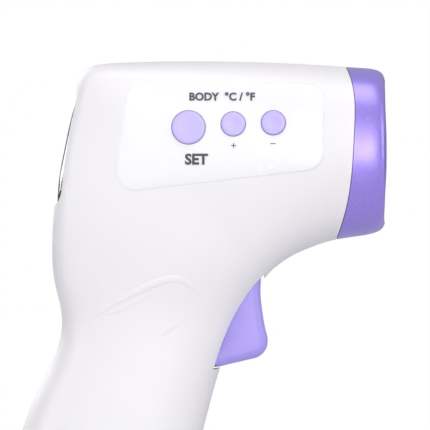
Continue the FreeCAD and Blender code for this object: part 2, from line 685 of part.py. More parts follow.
def right_housing():
    name = "right"
    ribs = shared_ribs(name, -1)
    ribs.append(box("spring_rib", ("spring_low - rail", "spring_low"), ("-" + HALF, "spring_radius * 2"),
                    (rise("spring_rise - spring_radius * 1.5"), rise("spring_rise + spring_radius * 1.5"))))
    for number in range(1, len(BOARD_SCREWS) + 1):
        ribs.append(rod("post_%d" % number, "y", "post_radius", "-" + HALF, BOARD_Y,
                        "board_screw_%d_x" % number, rise("board_screw_%d_rise" % number)))
    cuts = shared_cuts(name)
    for button in BUTTONS:
        cuts.append(button_hole("hole_" + button, button))
        cuts.append(rod("flange_room_" + button, "y", button + "_radius + flange_over + move_gap",
                        "flange_depth - fit_gap - " + HALF, BOARD_Y, button + "_x", rise(button + "_rise")))
    cuts.append(cut("panel_recess", panel_prism("panel_room", "fit_gap"),
                    [feature("panel_floor", half_skin(sheet.panel_seat, -1))]))
    for number in range(1, len(HOUSING_SCREWS) + 1):
        cuts.append(rod("pilot_%d" % number, "y", "screw_shank + run_gap", "-screw_bite - 1", "1",
                        "housing_screw_%d_x" % number, rise("housing_screw_%d_rise" % number)))
    for number in range(1, len(BOARD_SCREWS) + 1):
        cuts.append(rod("post_hole_%d" % number, "y", "small_shank + run_gap",
                        BOARD_Y + " + board_thick - small_length - 0.5", BOARD_Y + " + 1",
                        "board_screw_%d_x" % number, rise("board_screw_%d_rise" % number)))
    solid = fuse("right_solid", [shell_half(name, -1), kept_inside(name, -1, ribs)])
    node("right_housing", cut("right_housing", solid, cuts))


def left_housing():
    name = "left"
    cuts = shared_cuts(name)
    for number in range(1, len(HOUSING_SCREWS) + 1):
        spot = ("housing_screw_%d_x" % number, rise("housing_screw_%d_rise" % number))
        cuts.append(rod("way_%d" % number, "y", "screw_shank + fit_gap", "-1", "beyond", *spot))
        cuts.append(rod("well_%d" % number, "y", "screw_head + fit_gap", "screw_seat", "beyond", *spot))
    for number in range(7):
        angle = math.radians(60 * number)
        out = 3.2 if number else 0
        cuts.append(rod("sound_%d" % number, "y", 0.8, "5", "beyond",
                        SPEAKER[0] + out * math.cos(angle), rise(SPEAKER[1] + out * math.sin(angle))))
    solid = fuse("left_solid", [shell_half(name, 1), kept_inside(name, 1, shared_ribs(name, 1))])
    node("left_housing", cut("left_housing", solid, cuts))


def rounded_bore(name, border, low, high):
    """A rounded rectangle along X, a border in from the nose's outline."""
    side = "(%s - (%s))" % (HALF, border)
    top = "(nose_height / 2 - (%s))" % border
    middle = rise("nose_middle")
    corners = (("-" + side, middle + " - " + top), (side, middle + " - " + top),
               (side, middle + " + " + top), ("-" + side, middle + " + " + top))
    return prism(name, "x", corners, low, high, "bore_corner")


def nose_ring():
    """The coloured rim of the nose, with a sleeve that fits into the housing."""
    band = common("ring_band", feature("ring_skin", whole_skin(0)),
                  feature("ring_front", front_region(sheet.seam_gap / 2)))
    sleeve = common("ring_sleeve", feature("sleeve_skin", whole_skin(sheet.wall + sheet.fit_gap)),
                    box("sleeve_span", ("nose_reach - sleeve_back - spigot", "nose_reach - sleeve_front"),
                        ("-" + HALF, HALF), (rise("30"), rise("beyond * 4"))))
    bores = [rounded_bore("ring_bore", "rim + ledge", "nose_reach - beyond", "nose_reach + 1"),
             rounded_bore("ring_mouth", "rim", "nose_reach - plate_recess - plate_thick", "nose_reach + 1")]
    node("nose_ring", cut("nose_ring", fuse("ring_solid", [band, sleeve]), bores))


def front_plate():
    back = "nose_reach - plate_recess - plate_thick"
    blank = rounded_bore("plate_blank", "rim + fit_gap", back, "nose_reach - plate_recess")
    hole = rod("plate_hole", "x", "cup_mouth + cup_wall + fit_gap", back + " - 1", "nose_reach",
               "0", SENSOR_Z)
    node("front_plate", cut("front_plate", blank, [hole]))


def battery_door():
    """The rear of the handle's skin, with a tongue that hooks behind the housing."""
    shells = fuse("door_shells", [shell_half("door_left", 1), shell_half("door_right", -1)])
    outline_prism = prism("door_outline", "y", door_corners("move_gap"), "-beyond", "beyond", "door_corner")
    tongue_x = ("tongue_x", "tongue_x + tongue_thick")
    tongue_y = ("-tongue_width / 2", "tongue_width / 2")
    tongue = box("door_tongue", tongue_x, tongue_y, (DOOR_TOP + " - tongue_width", DOOR_TOP + " + tongue_high"))
    block = common("door_block", box("door_block_box", ("-beyond", "tongue_x + tongue_thick"), tongue_y,
                                     (DOOR_TOP + " - tongue_width", DOOR_TOP + " - tongue_width / 2")),
                   feature("door_liner", whole_skin(sheet.wall / 2)))
    skin = common("door_skin", shells, outline_prism)
    node("battery_door", fuse("battery_door", [skin, tongue, block]))


# ---- buttons, panel, switches ----

def panel_prism(name, gap):
    """Outline of the button panel, let out by a gap."""
    outwards = ((-1, -1), (1, -1), (1, 1), (-1, 1))
    corners = [("panel_%d_x + %d * %s" % (number, along, gap),
                rise("panel_%d_rise + %d * %s" % (number, up, gap)))
               for number, (along, up) in enumerate(outwards, 1)]
    return prism(name, "y", corners, "-beyond", "0", "panel_corner")


def button_panel():
    slab = common("panel_slab", panel_prism("panel_outline", "0"),
                  feature("panel_skin", half_skin(-sheet.panel_proud, -1)))
    holes = [button_hole("panel_hole_" + button, button) for button in BUTTONS]
    floor = feature("panel_back", half_skin(sheet.panel_seat, -1))
    node("button_panel", cut("button_panel", slab, [floor] + holes))


def button(name):
    """Cap with a bevelled face, a flange behind the wall and a stem that meets the switch."""
    radius = name + "_radius"
    face = "(button_sink - button_proud)"
    flange = "flange_depth"
    tip = "(wall + board_setback - switch_height - plunger_proud - run_gap)"
    profile = ((face, "0"), (face, radius + " - button_bevel"),
               (face + " + button_bevel", radius), (flange, radius),
               (flange, radius + " + flange_over"), (flange + " + flange_thick", radius + " + flange_over"),
               (flange + " + flange_thick", "stem_radius"), (tip, "stem_radius"), (tip, "0"))
    node(name + "_button", turned(name + "_button", "y", profile, name + "_x", "-" + HALF,
                                  rise(name + "_rise")))


def switch(name):
    """A tactile switch on the main board and the plunger that slides in it."""
    x, z = name + "_x", rise(name + "_rise")
    side = "switch_side / 2"
    face = "(%s - switch_height)" % BOARD_Y
    body = box(name + "_case", ("%s - %s" % (x, side), "%s + %s" % (x, side)), (face, BOARD_Y),
               ("%s - %s" % (z, side), "%s + %s" % (z, side)))
    pocket = rod(name + "_pocket", "y", "plunger_radius + run_gap", face + " - 1",
                 face + " + plunger_inside + button_travel * 2", x, z)
    node(name + "_switch", cut(name + "_switch", body, [pocket]))
    node(name + "_plunger", rod(name + "_plunger", "y", "plunger_radius", face + " - plunger_proud",
                                face + " + plunger_inside", x, z))


# ---- sensor ----

def sensor():
    """Thermopile can in the throat of a flared cup, on its own small board."""
    bore = "can_radius + run_gap"
    back = "-cup_depth - lip"
    profile = (("0", "cup_mouth"), ("-cup_depth", "aperture"), (back, "aperture"), (back, bore),
               (back + " - can_length", bore), (back + " - can_length", bore + " + cup_wall"),
               ("-cup_depth", bore + " + cup_wall"), ("0", "cup_mouth + cup_wall"))
    node("sensor_cup", turned("sensor_cup", "x", profile, CUP_X, "0", SENSOR_Z))
    can = rod("can_blank", "x", "can_radius", CAN_X + " - can_length", CAN_X, "0", SENSOR_Z)
    seat = rod("can_seat", "x", "pane_radius", CAN_X + " - pane_thick", CAN_X + " + 1", "0", SENSOR_Z)
    node("sensor_can", cut("sensor_can", can, [seat]))
    node("sensor_window", rod("sensor_window", "x", "pane_radius - run_gap", CAN_X + " - pane_thick",
                              CAN_X, "0", SENSOR_Z))
    behind = "(%s - can_length)" % CAN_X
    half_side = "sensor_board_side / 2"
    blank = box("sensor_board_blank", (behind + " - board_thick - touch_gap * 2", behind + " - touch_gap * 2"),
                ("-" + half_side, half_side), (SENSOR_Z + " - " + half_side, SENSOR_Z + " + " + half_side))
    leads, holes = [], []
    for number in range(4):
        angle = math.radians(45 + 90 * number)
        y = "lead_circle * %.4f" % math.sin(angle)
        z = SENSOR_Z + " + lead_circle * %.4f" % math.cos(angle)
        leads.append(rod("lead_%d" % number, "x", "lead_radius", behind + " - lead_length", behind, y, z))
        holes.append(rod("lead_hole_%d" % number, "x", "lead_radius + touch_gap", behind + " - beyond",
                         behind, y, z))
    node("sensor_leads", fuse("sensor_leads", leads))
    node("sensor_board", cut("sensor_board", blank, holes))
    top = sheet.wall + sheet.board_setback - sheet.body_width / 2 + sheet.board_thick
    start = (sheet.nose_reach - sheet.plate_recess - sheet.cup_back - sheet.cup_depth - sheet.lip
             - sheet.run_gap - sheet.can_length - 2 * sheet.touch_gap - sheet.board_thick)
    level = sheet.handle_length + sheet.sensor_rise - sheet.cable_drop
    bend = start - sheet.cable_run
    points = (V(start, -sheet.cable_side, level), V(bend, -sheet.cable_side, level), V(bend, top, level))
    node("sensor_cable", feature("sensor_cable", tube(points, sheet.cable_radius)))


# ---- main board ----

def on_board(name, x, z, length, height, depth):
    """A packaged part soldered to the left face of the main board."""
    top = BOARD_Y + " + board_thick"
    return box(name, ("%s - %s / 2" % (x, length), "%s + %s / 2" % (x, length)), (top, "%s + %s" % (top, depth)),
               (rise("%s - %s / 2" % (z, height)), rise("%s + %s / 2" % (z, height))))


def can_on_board(name, x, z, radius, depth):
    top = BOARD_Y + " + board_thick"
    return rod(name, "y", radius, top, "%s + %s" % (top, depth), x, rise(z))


def main_board():
    blank = box("main_blank", ("board_left", "board_right"), (BOARD_Y, BOARD_Y + " + board_thick"),
                (rise("board_low"), rise("board_high")))
    holes, screws = [], []
    for number in range(1, len(BOARD_SCREWS) + 1):
        spot = ("board_screw_%d_x" % number, rise("board_screw_%d_rise" % number))
        top = BOARD_Y + " + board_thick"
        holes.append(rod("board_hole_%d" % number, "y", "small_shank + fit_gap", BOARD_Y + " - 1",
                         top + " + 1", *spot))
        screws.append(rod("board_shank_%d" % number, "y", "small_shank", top + " - small_length", top, *spot))
        screws.append(rod("board_head_%d" % number, "y", "small_head", top, top + " + small_head_high", *spot))
    node("main_board", cut("main_board", blank, holes))
    node("board_screws", fuse("board_screws", screws))
    for row in BOARD_BLOCKS:
        node(row[0], on_board(*row))
    crystal = doc.addObject("Part::Fillet", "crystal")
    crystal.Base = on_board("crystal_blank", *CRYSTAL)
    doc.recompute()
    corner = sheet.crystal_corner
    crystal.Edges = [(number, corner, corner) for number, edge in enumerate(crystal.Base.Shape.Edges, 1)
                     if abs(edge.tangentAt(edge.FirstParameter).y) > ALMOST]
    node("crystal", crystal)
    for row in BOARD_CANS:
        node(row[0], can_on_board(*row))
    case = can_on_board("buzzer_case", *SPEAKER, "buzzer_radius", "buzzer_thick")
    hole = rod("buzzer_bore", "y", "buzzer_hole", BOARD_Y + " + board_thick + buzzer_floor", "beyond",
               SPEAKER[0], rise(SPEAKER[1]))
    node("buzzer", cut("buzzer", case, [hole]))


# ---- display ----

def display():
    """Window, printed mask, liquid crystal cell, backlight, contact strips, board and frame."""
    node("display_window", leaning_slab("display_window", "window_depth", WINDOW_BACK, "window_width",
                                        "window_height", "window_corner"))
    mask = leaning_slab("mask_blank", WINDOW_BACK, WINDOW_BACK + " + mask_thick", "window_width",
                        "window_height", "window_corner")
    hole = leaning_box("mask_view", WINDOW_BACK + " - 1", LEDGE_BACK + " + 1",
                       "window_width - 4 * view_border", "window_height - 4 * view_border")
    node("display_mask", cut("display_mask", mask, [hole]))
    front, light, board, back = CELL_FRONT, LIGHT_FRONT, CIRCUIT_FRONT, CIRCUIT_BACK
    wide, high = CELL_WIDE, CELL_HIGH
    node("display_cell", leaning_box("display_cell", front, light, wide, high))
    node("backlight", leaning_box("backlight", light, board + " - touch_gap", wide,
                                  "%s - 2 * strip_width - 1" % high))
    for name, sign in (("upper", 1), ("lower", -1)):
        strip = leaning_box(name + "_strip", light, board, wide, "strip_width")
        shift = "%d * (%s - strip_width) / 2" % (sign, high)
        place(strip,
              "display_x + %s * cos(display_lean) + (%s - strip_width / 2) * sin(display_lean)" % (light, shift),
              "-%s / 2" % wide,
              "handle_length + display_rise - %s * sin(display_lean) + (%s - strip_width / 2)"
              " * cos(display_lean)" % (light, shift))
        node(name + "_contact_strip", strip)
    node("display_board", leaning_box("display_board", board, back, wide, high))
    block = frame_block("frame_block")
    room = leaning_box("frame_room", front + " - 1", back + " + 1", wide + " + 2 * fit_gap",
                       high + " + 2 * fit_gap")
    node("display_frame", cut("display_frame", block, [room]))


def ribbon():
    """Flat cable from the display's board to the main board, with a connector at each end."""
    lean = math.radians(sheet.display_lean)
    depth = (sheet.window_depth + sheet.window_thick + sheet.mask_thick + sheet.seat_thick + sheet.fit_gap
             + sheet.glass_thick + sheet.light_thick + sheet.board_thick)
    plane_y = (sheet.wall + sheet.board_setback - sheet.body_width / 2 + sheet.board_thick
               + sheet.ribbon_stand)
    start_x = sheet.display_x + depth * math.cos(lean) + sheet.ribbon_stand
    middle = sheet.handle_length + sheet.display_rise - depth * math.sin(lean)
    socket_x = ("board_left + socket_stand", "board_left + socket_stand + socket_depth")
    half = sheet.socket_width / 2
    node("board_connector", box("board_connector", socket_x,
                                (BOARD_Y + " + board_thick", BOARD_Y + " + board_thick + socket_height"),
                                (middle - half, middle + half)))
    socket = leaning_box("display_connector", depth, depth + sheet.plug_depth, "plug_height", "plug_width")
    half = sheet.plug_width / 2
    place(socket, sheet.display_x + depth * math.cos(lean) - half * math.sin(lean),
          plane_y - sheet.plug_height / 2, middle - half * math.cos(lean))
    node("display_connector", socket)
    end_x = sheet.board_left + sheet.socket_depth
    points = (V(start_x, plane_y, middle), V((start_x + end_x) / 2, plane_y + sheet.ribbon_bow, middle),
              V(end_x, plane_y, middle))
    path = route(points)
    across = (points[1] - points[0]).normalize().cross(Z_AXIS)
    corner = points[0] - Z_AXIS * (sheet.ribbon_width / 2) - across * (sheet.ribbon_thick / 2)
    up, over = Z_AXIS * sheet.ribbon_width, across * sheet.ribbon_thick
    profile = Part.makePolygon([corner, corner + up, corner + up + over, corner + over, corner])
    node("display_ribbon", feature("display_ribbon", path.makePipeShell([profile], True, False)))


# ---- trigger ----

def trigger():
    """Finger lever, its pin, return spring and switch."""
    corners = [("trigger_%d_x" % number, rise("trigger_%d_rise" % number))
               for number in range(1, len(TRIGGER_CORNERS) + 1)]
    lever = prism("trigger_blank", "y", corners, "-trigger_width / 2", "trigger_width / 2", "trigger_corner")
    scoop = rod("trigger_scoop", "y", "scoop_radius", "-beyond", "beyond", "scoop_x", rise("scoop_rise"))
    bore = rod("trigger_bore", "y", "pin_radius + run_gap", "-beyond", "beyond", "pivot_x", rise("pivot_rise"))
    seat = rod("trigger_seat", "x", "spring_radius + spring_wire + move_gap", "spring_low", "spring_high",
               "0", rise("spring_rise"))
    node("trigger", cut("trigger", lever, [scoop, bore, seat]))
    node("trigger_pin", rod("trigger_pin", "y", "pin_radius", "-pin_half", "pin_half", "pivot_x",
                            rise("pivot_rise")))
    spring = coil(sheet.spring_radius, sheet.spring_wire, sheet.spring_high - sheet.spring_low,
                  int(sheet.spring_turns))
    spot = V(sheet.spring_low, 0, sheet.handle_length + sheet.spring_rise)
    node("trigger_spring", feature("trigger_spring", spring, spot, ALONG["x"]))
    middle = rise("pivot_rise - striker_drop")
    face = "(striker_x - touch_gap - plunger_proud)"
    back = "(%s - switch_height - board_thick)" % face
    side = "switch_side / 2"
    case = box("trigger_case", (face + " - switch_height", face), ("-" + side, side),
               (middle + " - " + side, middle + " + " + side))
    pocket = rod("trigger_pocket", "x", "plunger_radius + run_gap",
                 face + " - plunger_inside - button_travel * 2", face + " + 1", "0", middle)
    node("trigger_switch", cut("trigger_switch", case, [pocket]))
    node("trigger_plunger", rod("trigger_plunger", "x", "plunger_radius", face + " - plunger_inside",
                                face + " + plunger_proud", "0", middle))
    node("trigger_board", box("trigger_board", (back, back + " + board_thick"),
                              ("-trigger_board_width / 2", "trigger_board_width / 2"),
                              (middle + " - trigger_board_height / 2", middle + " + trigger_board_height / 2")))
    start = (sheet.striker_x - sheet.touch_gap - sheet.plunger_proud - sheet.switch_height
             - sheet.board_thick)
    board_face = (sheet.wall + sheet.board_setback - sheet.body_width / 2 + sheet.board_thick
                  + sheet.cable_radius)
    neck = sheet.handle_length
    bend, side = start - sheet.lead_side, -sheet.lead_side
    points = (V(start, side, neck + sheet.lead_rise), V(bend, side, neck + sheet.lead_rise),
              V(bend, board_face + 1, neck + sheet.lead_turn),
              V(bend, board_face, neck + sheet.board_low + sheet.lead_lap))
    node("trigger_cable", feature("trigger_cable", tube(points, sheet.cable_radius)))


# ---- battery compartment ----

INNER_LOW = "(tray_low + tray_wall)"
COIL_ROOM = "(coil_length + contact_thick)"
CELL_LOW = {1: "(%s + %s)" % (INNER_LOW, COIL_ROOM), -1: "(%s + contact_thick + tip_length)" % INNER_LOW}
INNER_HIGH = "(%s + contact_thick * 2 + coil_length + cell_length + tip_length)" % INNER_LOW
TRAY_FRONT = "(cell_x + cell_radius + cell_room)"
TRAY_BACK = "(cell_x - tray_open)"
TRAY_HALF = "(cell_spread + cell_radius + cell_room)"


def tray_block(name):
    """Outer block of the tray, which the housing is relieved for where its wall is thick."""
    half = TRAY_HALF + " + tray_wall"
    return box(name, (TRAY_BACK, TRAY_FRONT + " + tray_wall"), ("-(%s)" % half, half),
               ("tray_low", INNER_HIGH + " + tray_wall"))


def battery_tray():
    """Open-backed tray round both cells, slotted for the solder tabs."""
    block = tray_block("tray_block")
    room = box("tray_room", (TRAY_BACK + " - 1", TRAY_FRONT), ("-" + TRAY_HALF, TRAY_HALF),
               (INNER_LOW, INNER_HIGH))
    slots = []
    for name, side in (("left", 1), ("right", -1)):
        y = "%d * cell_spread" % side
        slots.append(box("tab_slot_" + name, (TRAY_FRONT + " - 1", TRAY_FRONT + " + tray_wall + 1"),
                         (y + " - tab_width / 2 - touch_gap", y + " + tab_width / 2 + touch_gap"),
                         (INNER_HIGH + " - contact_thick - touch_gap", INNER_HIGH)))
    node("battery_tray", cut("battery_tray", block, [room] + slots))


def cell(name, side):
    """An AAA cell: the left one stands tip up, the right one tip down."""
    y = "%d * cell_spread" % side
    low = CELL_LOW[side]
    case = rod(name + "_case", "z", "cell_radius", low, low + " + cell_length", "cell_x", y)
    if side > 0:
        tip = rod(name + "_tip", "z", "tip_radius", low + " + cell_length",
                  low + " + cell_length + tip_length", "cell_x", y)
    else:
        tip = rod(name + "_tip", "z", "tip_radius", low + " - tip_length", low, "cell_x", y)
    node(name, fuse(name, [case, tip]))


def contacts():
    """Bridge under both cells, two plates with solder tabs above, and the two springs."""
    half_plate = "4"
    plate_x = ("cell_x - " + half_plate, "cell_x + " + half_plate)
    node("battery_bridge", box("battery_bridge", plate_x, ("-cell_spread - 4", "cell_spread + 4"),
                               (INNER_LOW, INNER_LOW + " + contact_thick")))
    top = (INNER_HIGH + " - contact_thick", INNER_HIGH)
    for name, side in (("plus", 1), ("minus", -1)):
        y = "%d * cell_spread" % side
        plate = box(name + "_plate", plate_x, (y + " - 4", y + " + 4"), top)
        tab = box(name + "_tab", ("cell_x", TRAY_FRONT + " + tray_wall + tab"),
                  (y + " - tab_width / 2", y + " + tab_width / 2"), top)
        node(name + "_contact", fuse(name + "_contact", [plate, tab]))
    inner_low = sheet.tray_low + sheet.tray_wall
    inner_high = (inner_low + 2 * sheet.contact_thick + sheet.coil_length + sheet.cell_length
                  + sheet.tip_length)
    starts = {"left": inner_low + sheet.contact_thick,
              "right": inner_high - sheet.contact_thick - sheet.coil_length}
    for name, side in (("left", 1), ("right", -1)):
        spring = coil(sheet.coil_radius, sheet.coil_wire, sheet.coil_length, int(sheet.coil_turns))
        spot = V(sheet.cell_x, side * sheet.cell_spread, starts[name])
        node(name + "_battery_spring", feature(name + "_battery_spring", spring, spot))


def battery_wire(name, side):
    """Wire from a solder tab up the neck to the main board."""
    front = sheet.cell_x + sheet.cell_radius + sheet.cell_room + sheet.tray_wall + sheet.tab / 2
    low = (sheet.tray_low + sheet.tray_wall + 2 * sheet.contact_thick + sheet.coil_length
           + sheet.cell_length + sheet.tip_length)
    board_face = (sheet.wall + sheet.board_setback - sheet.body_width / 2 + sheet.board_thick
                  + sheet.wire_radius)
    y = side * sheet.cell_spread
    neck = sheet.handle_length
    end_x = sheet.wire_end + side
    points = (V(front, y, low), V(front, y, neck + 8), V(front + 1, side * 2 - 1, neck + 26),
              V(front + 3, side * 2 - 5, neck + 43), V(end_x - 2, board_face, neck + 54),
              V(end_x, board_face, neck + 63))
    node(name, feature(name, tube(points, sheet.wire_radius)))


def housing_screws():
    """Six screws that go in from the left and bite in the right half's bosses."""
    pieces = []
    for number in range(1, len(HOUSING_SCREWS) + 1):
        spot = ("housing_screw_%d_x" % number, rise("housing_screw_%d_rise" % number))
        pieces.append(rod("shank_%d" % number, "y", "screw_shank", "-screw_bite", "screw_seat", *spot))
        pieces.append(rod("head_%d" % number, "y", "screw_head", "screw_seat",
                          "screw_seat + screw_head_high", *spot))
    node("housing_screws", fuse("housing_screws", pieces))


right_housing()
left_housing()
nose_ring()
front_plate()
battery_door()
button_panel()
for button_name in BUTTONS:
    button(button_name)
    switch(button_name)
sensor()
main_board()
display()
ribbon()
trigger()
battery_tray()
cell("left_cell", 1)
cell("right_cell", -1)
contacts()
battery_wire("red_wire", 1)
battery_wire("black_wire", -1)
housing_screws()
doc.recompute()

failed = [thing.Label for thing in doc.Objects if "Invalid" in thing.State or "Error" in thing.State]
failed += [thing.Label for thing in NODES if thing.Shape.isNull() or not thing.Shape.isValid()]
if failed:
    raise RuntimeError("failed: " + ", ".join(failed))
os.makedirs("parts", exist_ok=True)
for thing in NODES:
    thing.Shape.exportStep("parts/%s.step" % thing.Label)
print("%d sub-parts" % len(NODES))
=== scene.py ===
# %% [markdown]
# # An infrared forehead thermometer
# The thermometer is pointed at a forehead, the trigger is pulled, and the display on its back shows
# the temperature. Its solid pieces come from the CAD frame, in metres, already in their places. Here
# they get their finishes, and the pieces that the eye reads most closely are made again as finer
# surfaces: the trigger and its spring, the keys and their panel, the screws, the digits and the lens over
# them, the printed marks and the raised lines.

# %% The frame and the tools
import math

import bpy
import numpy as np
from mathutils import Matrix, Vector
from mathutils.bvhtree import BVHTree


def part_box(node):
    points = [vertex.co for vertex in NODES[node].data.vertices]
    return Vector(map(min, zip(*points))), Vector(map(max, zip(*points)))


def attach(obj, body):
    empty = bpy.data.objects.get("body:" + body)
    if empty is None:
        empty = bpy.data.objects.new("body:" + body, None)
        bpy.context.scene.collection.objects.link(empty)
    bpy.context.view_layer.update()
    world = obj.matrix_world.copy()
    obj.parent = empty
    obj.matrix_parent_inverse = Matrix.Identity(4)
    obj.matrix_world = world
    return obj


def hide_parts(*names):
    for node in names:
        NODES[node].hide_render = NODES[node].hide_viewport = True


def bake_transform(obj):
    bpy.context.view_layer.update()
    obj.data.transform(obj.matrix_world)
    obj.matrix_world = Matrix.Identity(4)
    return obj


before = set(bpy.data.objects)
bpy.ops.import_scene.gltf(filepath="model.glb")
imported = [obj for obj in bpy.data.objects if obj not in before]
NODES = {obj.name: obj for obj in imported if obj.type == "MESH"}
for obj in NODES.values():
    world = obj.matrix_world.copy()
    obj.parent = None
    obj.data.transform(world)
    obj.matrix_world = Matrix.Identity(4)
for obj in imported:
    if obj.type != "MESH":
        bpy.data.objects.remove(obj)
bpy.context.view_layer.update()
MM = 0.001

# %% [markdown]
# ## Colour and nodes
# A colour is picked as a hex value, the way a paint chip or a screen gives it, but light adds up in
# linear values, so one function turns hex to linear. A second small function adds any node with its
# settings and its links, which keeps each material short enough to read as a recipe.


# %% Two helpers for every material
def linear(code):
    """Each channel c of the hex colour, over 255, becomes ((c + 0.055) / 1.055) to the power 2.4."""
    channel = np.array([int(code[i:i + 2], 16) for i in (0, 2, 4)]) / 255
    value = np.where(channel <= 0.04045, channel / 12.92, ((channel + 0.055) / 1.055) ** 2.4)
    return (*value.tolist(), 1.0)


def add(tree, kind, links=None, **settings):
    """Adds one node; links holds values or output sockets for its inputs, by name or number."""
    node = tree.nodes.new("ShaderNode" + kind)
    for name, value in settings.items():
        setattr(node, name, value)
    for socket, value in (links or {}).items():
        if isinstance(value, bpy.types.NodeSocket):
            tree.links.new(value, node.inputs[socket])
        else:
            node.inputs[socket].default_value = value
    return node


def blank(name, **values):
    """A material with one Principled shader, whose uniform values are set on its own sockets."""
    material = bpy.data.materials.new(name)
    material.use_nodes = True
    shader = material.node_tree.nodes["Principled BSDF"]
    for socket, value in values.items():
        shader.inputs[socket.replace("_", " ")].default_value = value
    return material, material.node_tree, shader


print("white is", linear("ffffff"), "and mid grey", round(linear("808080")[0], 3))


# %% [markdown]
# ## Patterns with real sizes
# Moulded plastic, brushed metal and card all differ by the size of their grain. The noise node counts
# in features per metre, so a grain of 0.6 mm is a scale of 1000 / 0.6. Stretching the coordinates
# first gives the long scratches of brushing.

# %% Grain from a size in millimetres
def grain(tree, size, stretch=(1, 1, 1), detail=2.0):
    """Noise whose features are size mm across, and stretch times longer along each axis."""
    place = add(tree, "TexCoord")
    scaled = add(tree, "Mapping", {"Vector": place.outputs["Object"], "Scale": [1 / s for s in stretch]})
    return add(tree, "TexNoise", {"Vector": scaled.outputs[0], "Scale": 1000 / size, "Detail": detail,
                                  "Roughness": 0.55}).outputs["Fac"]


def between(tree, factor, low, high):
    """The factor from 0.3 to 0.7, where noise mostly lies, becomes low to high."""
    return add(tree, "MapRange", {"Value": factor, "From Min": 0.3, "From Max": 0.7, "To Min": low,
                                  "To Max": high}).outputs[0]


def tint(tree, shader, factor, first, second):
    """Base colour that drifts from one hex value to another."""
    mixed = add(tree, "Mix", {"Factor": factor, 6: linear(first), 7: linear(second)}, data_type="RGBA")
    tree.links.new(mixed.outputs[2], shader.inputs["Base Color"])


def relief(tree, shader, height, depth):
    """Bump whose full height is depth mm."""
    bump = add(tree, "Bump", {"Height": height, "Strength": 1.0, "Distance": depth * MM})
    tree.links.new(bump.outputs[0], shader.inputs["Normal"])


print("a grain of 0.35 mm is noise of scale", round(1000 / 0.35))

# %% [markdown]
# ## Moulded plastics
# The shell, the ring and the keys are ABS, injection moulded in a steel tool. Where the tool was
# spark-eroded the skin has a fine pebble and looks satin, and where it was polished it looks glossy.
# The pigment drifts very slightly with the flow of the melt. One recipe takes the two colours of that
# drift, the roughness, and the pebble's size and depth. A real spark grain is about 0.1 mm, too fine to
# show here, so it is drawn two to four times as coarse.

# %% A recipe for plastic
FLOW, WEAR = 25, 8


def moulded(name, first, second, rough, pebble=0.35, depth=0.006, coat=0.0):
    """Pigment that drifts over FLOW mm, roughness that varies over WEAR mm, and pebble mm of grain."""
    material, tree, shader = blank(name, IOR=1.53, Coat_Weight=coat, Coat_Roughness=0.12)
    tint(tree, shader, between(tree, grain(tree, FLOW), 0, 1), first, second)
    spread = between(tree, grain(tree, WEAR, detail=4), rough - 0.04, rough + 0.04)
    tree.links.new(spread, shader.inputs["Roughness"])
    relief(tree, shader, grain(tree, pebble, detail=3), depth)
    return material


FINISH = {
    "shell": moulded("abs_moulded_satin_white", "f2eff3", "f4f2f6", 0.42),
    "panel": moulded("pc_inlay_polished_white", "f6f5f8", "f8f7fa", 0.24, 0.5, 0.003, coat=0.15),
    "button_lilac": moulded("abs_moulded_key_lilac", "c5b8fb", "cabffd", 0.32, 0.3, 0.004, coat=0.15),
    "trigger_lilac": moulded("abs_moulded_trigger_lilac", "ae9df6", "b5a5fa", 0.36, 0.3, 0.005),
    "plate": moulded("abs_moulded_matt_grey", "4c4b55", "53525d", 0.6, 0.5, 0.015),
    "black_plastic": moulded("pbt_moulded_black", "17171a", "1e1e21", 0.5, 0.4, 0.01),
    "white_plastic": moulded("nylon_moulded_natural", "e9e6dc", "f0ede4", 0.45, 0.4, 0.006),
    "mask_black": moulded("pet_film_printed_black", "0d0d10", "121216", 0.28, 0.2, 0.002),
    "chip": moulded("epoxy_transfer_moulded", "1a1a1c", "232326", 0.62, 0.3, 0.01),
    "silicone": moulded("silicone_pressed_grey", "8f8f94", "9b9ba0", 0.55, 0.3, 0.006),
    "wire_red": moulded("pvc_extruded_red", "b3261e", "c22e25", 0.38, 0.6, 0.006),
    "wire_black": moulded("pvc_extruded_black", "161618", "1f1f22", 0.38, 0.6, 0.006),
    "cable_grey": moulded("pvc_extruded_grey", "77777c", "818187", 0.42, 0.6, 0.006),
    "ribbon": moulded("polyimide_laminated_amber", "b06a1c", "c07a28", 0.30, 0.8, 0.004),
}
print("plastics:", ", ".join(sorted(FINISH)))

# %% [markdown]
# ## Pearl paint on the ring
# The ring around the nose has more depth than the other plastics: it is sprayed with a lilac pearl
# lacquer. The mica flakes lie flat in it, so it answers like a rough metal where the light glances
# off, and like paint elsewhere. That makes a bright band across its middle and a dark foot. A part
# metallic value gives both, a clear coat adds a whiter gleam, and faint streaks 0.3 mm wide run along Z
# as on satin-brushed lacquer.

# %% Pearl lacquer
def pearl(name, first, second, rough):
    """Colour over streaks 0.3 mm wide and 12 times as tall, with the flakes as part metal."""
    material, tree, shader = blank(name, Metallic=0.5, IOR=1.5, Coat_Weight=0.6, Coat_Roughness=0.25)
    streaks = grain(tree, 0.3, (1, 1, 12), 3)
    tint(tree, shader, between(tree, streaks, 0, 1), first, second)
    tree.links.new(between(tree, streaks, rough - 0.05, rough + 0.05), shader.inputs["Roughness"])
    relief(tree, shader, streaks, 0.002)
    return material


FINISH["lilac"] = pearl("abs_lacquered_pearl_lilac", "9d88ee", "ab97f6", 0.36)
print("the ring's lacquer is", FINISH["lilac"].name)

# %% [markdown]
# ## Metals
# A rolled, turned or plated metal has no colour under its reflection, so its metallic value is 1 and
# its colour is the reflection's. What tells them apart is how rough they are and which way the tool
# marks run. The cup in the nose is polished aluminium with faint turning lines around its bore, so its
# marks are long across the bore's axis and short along it.

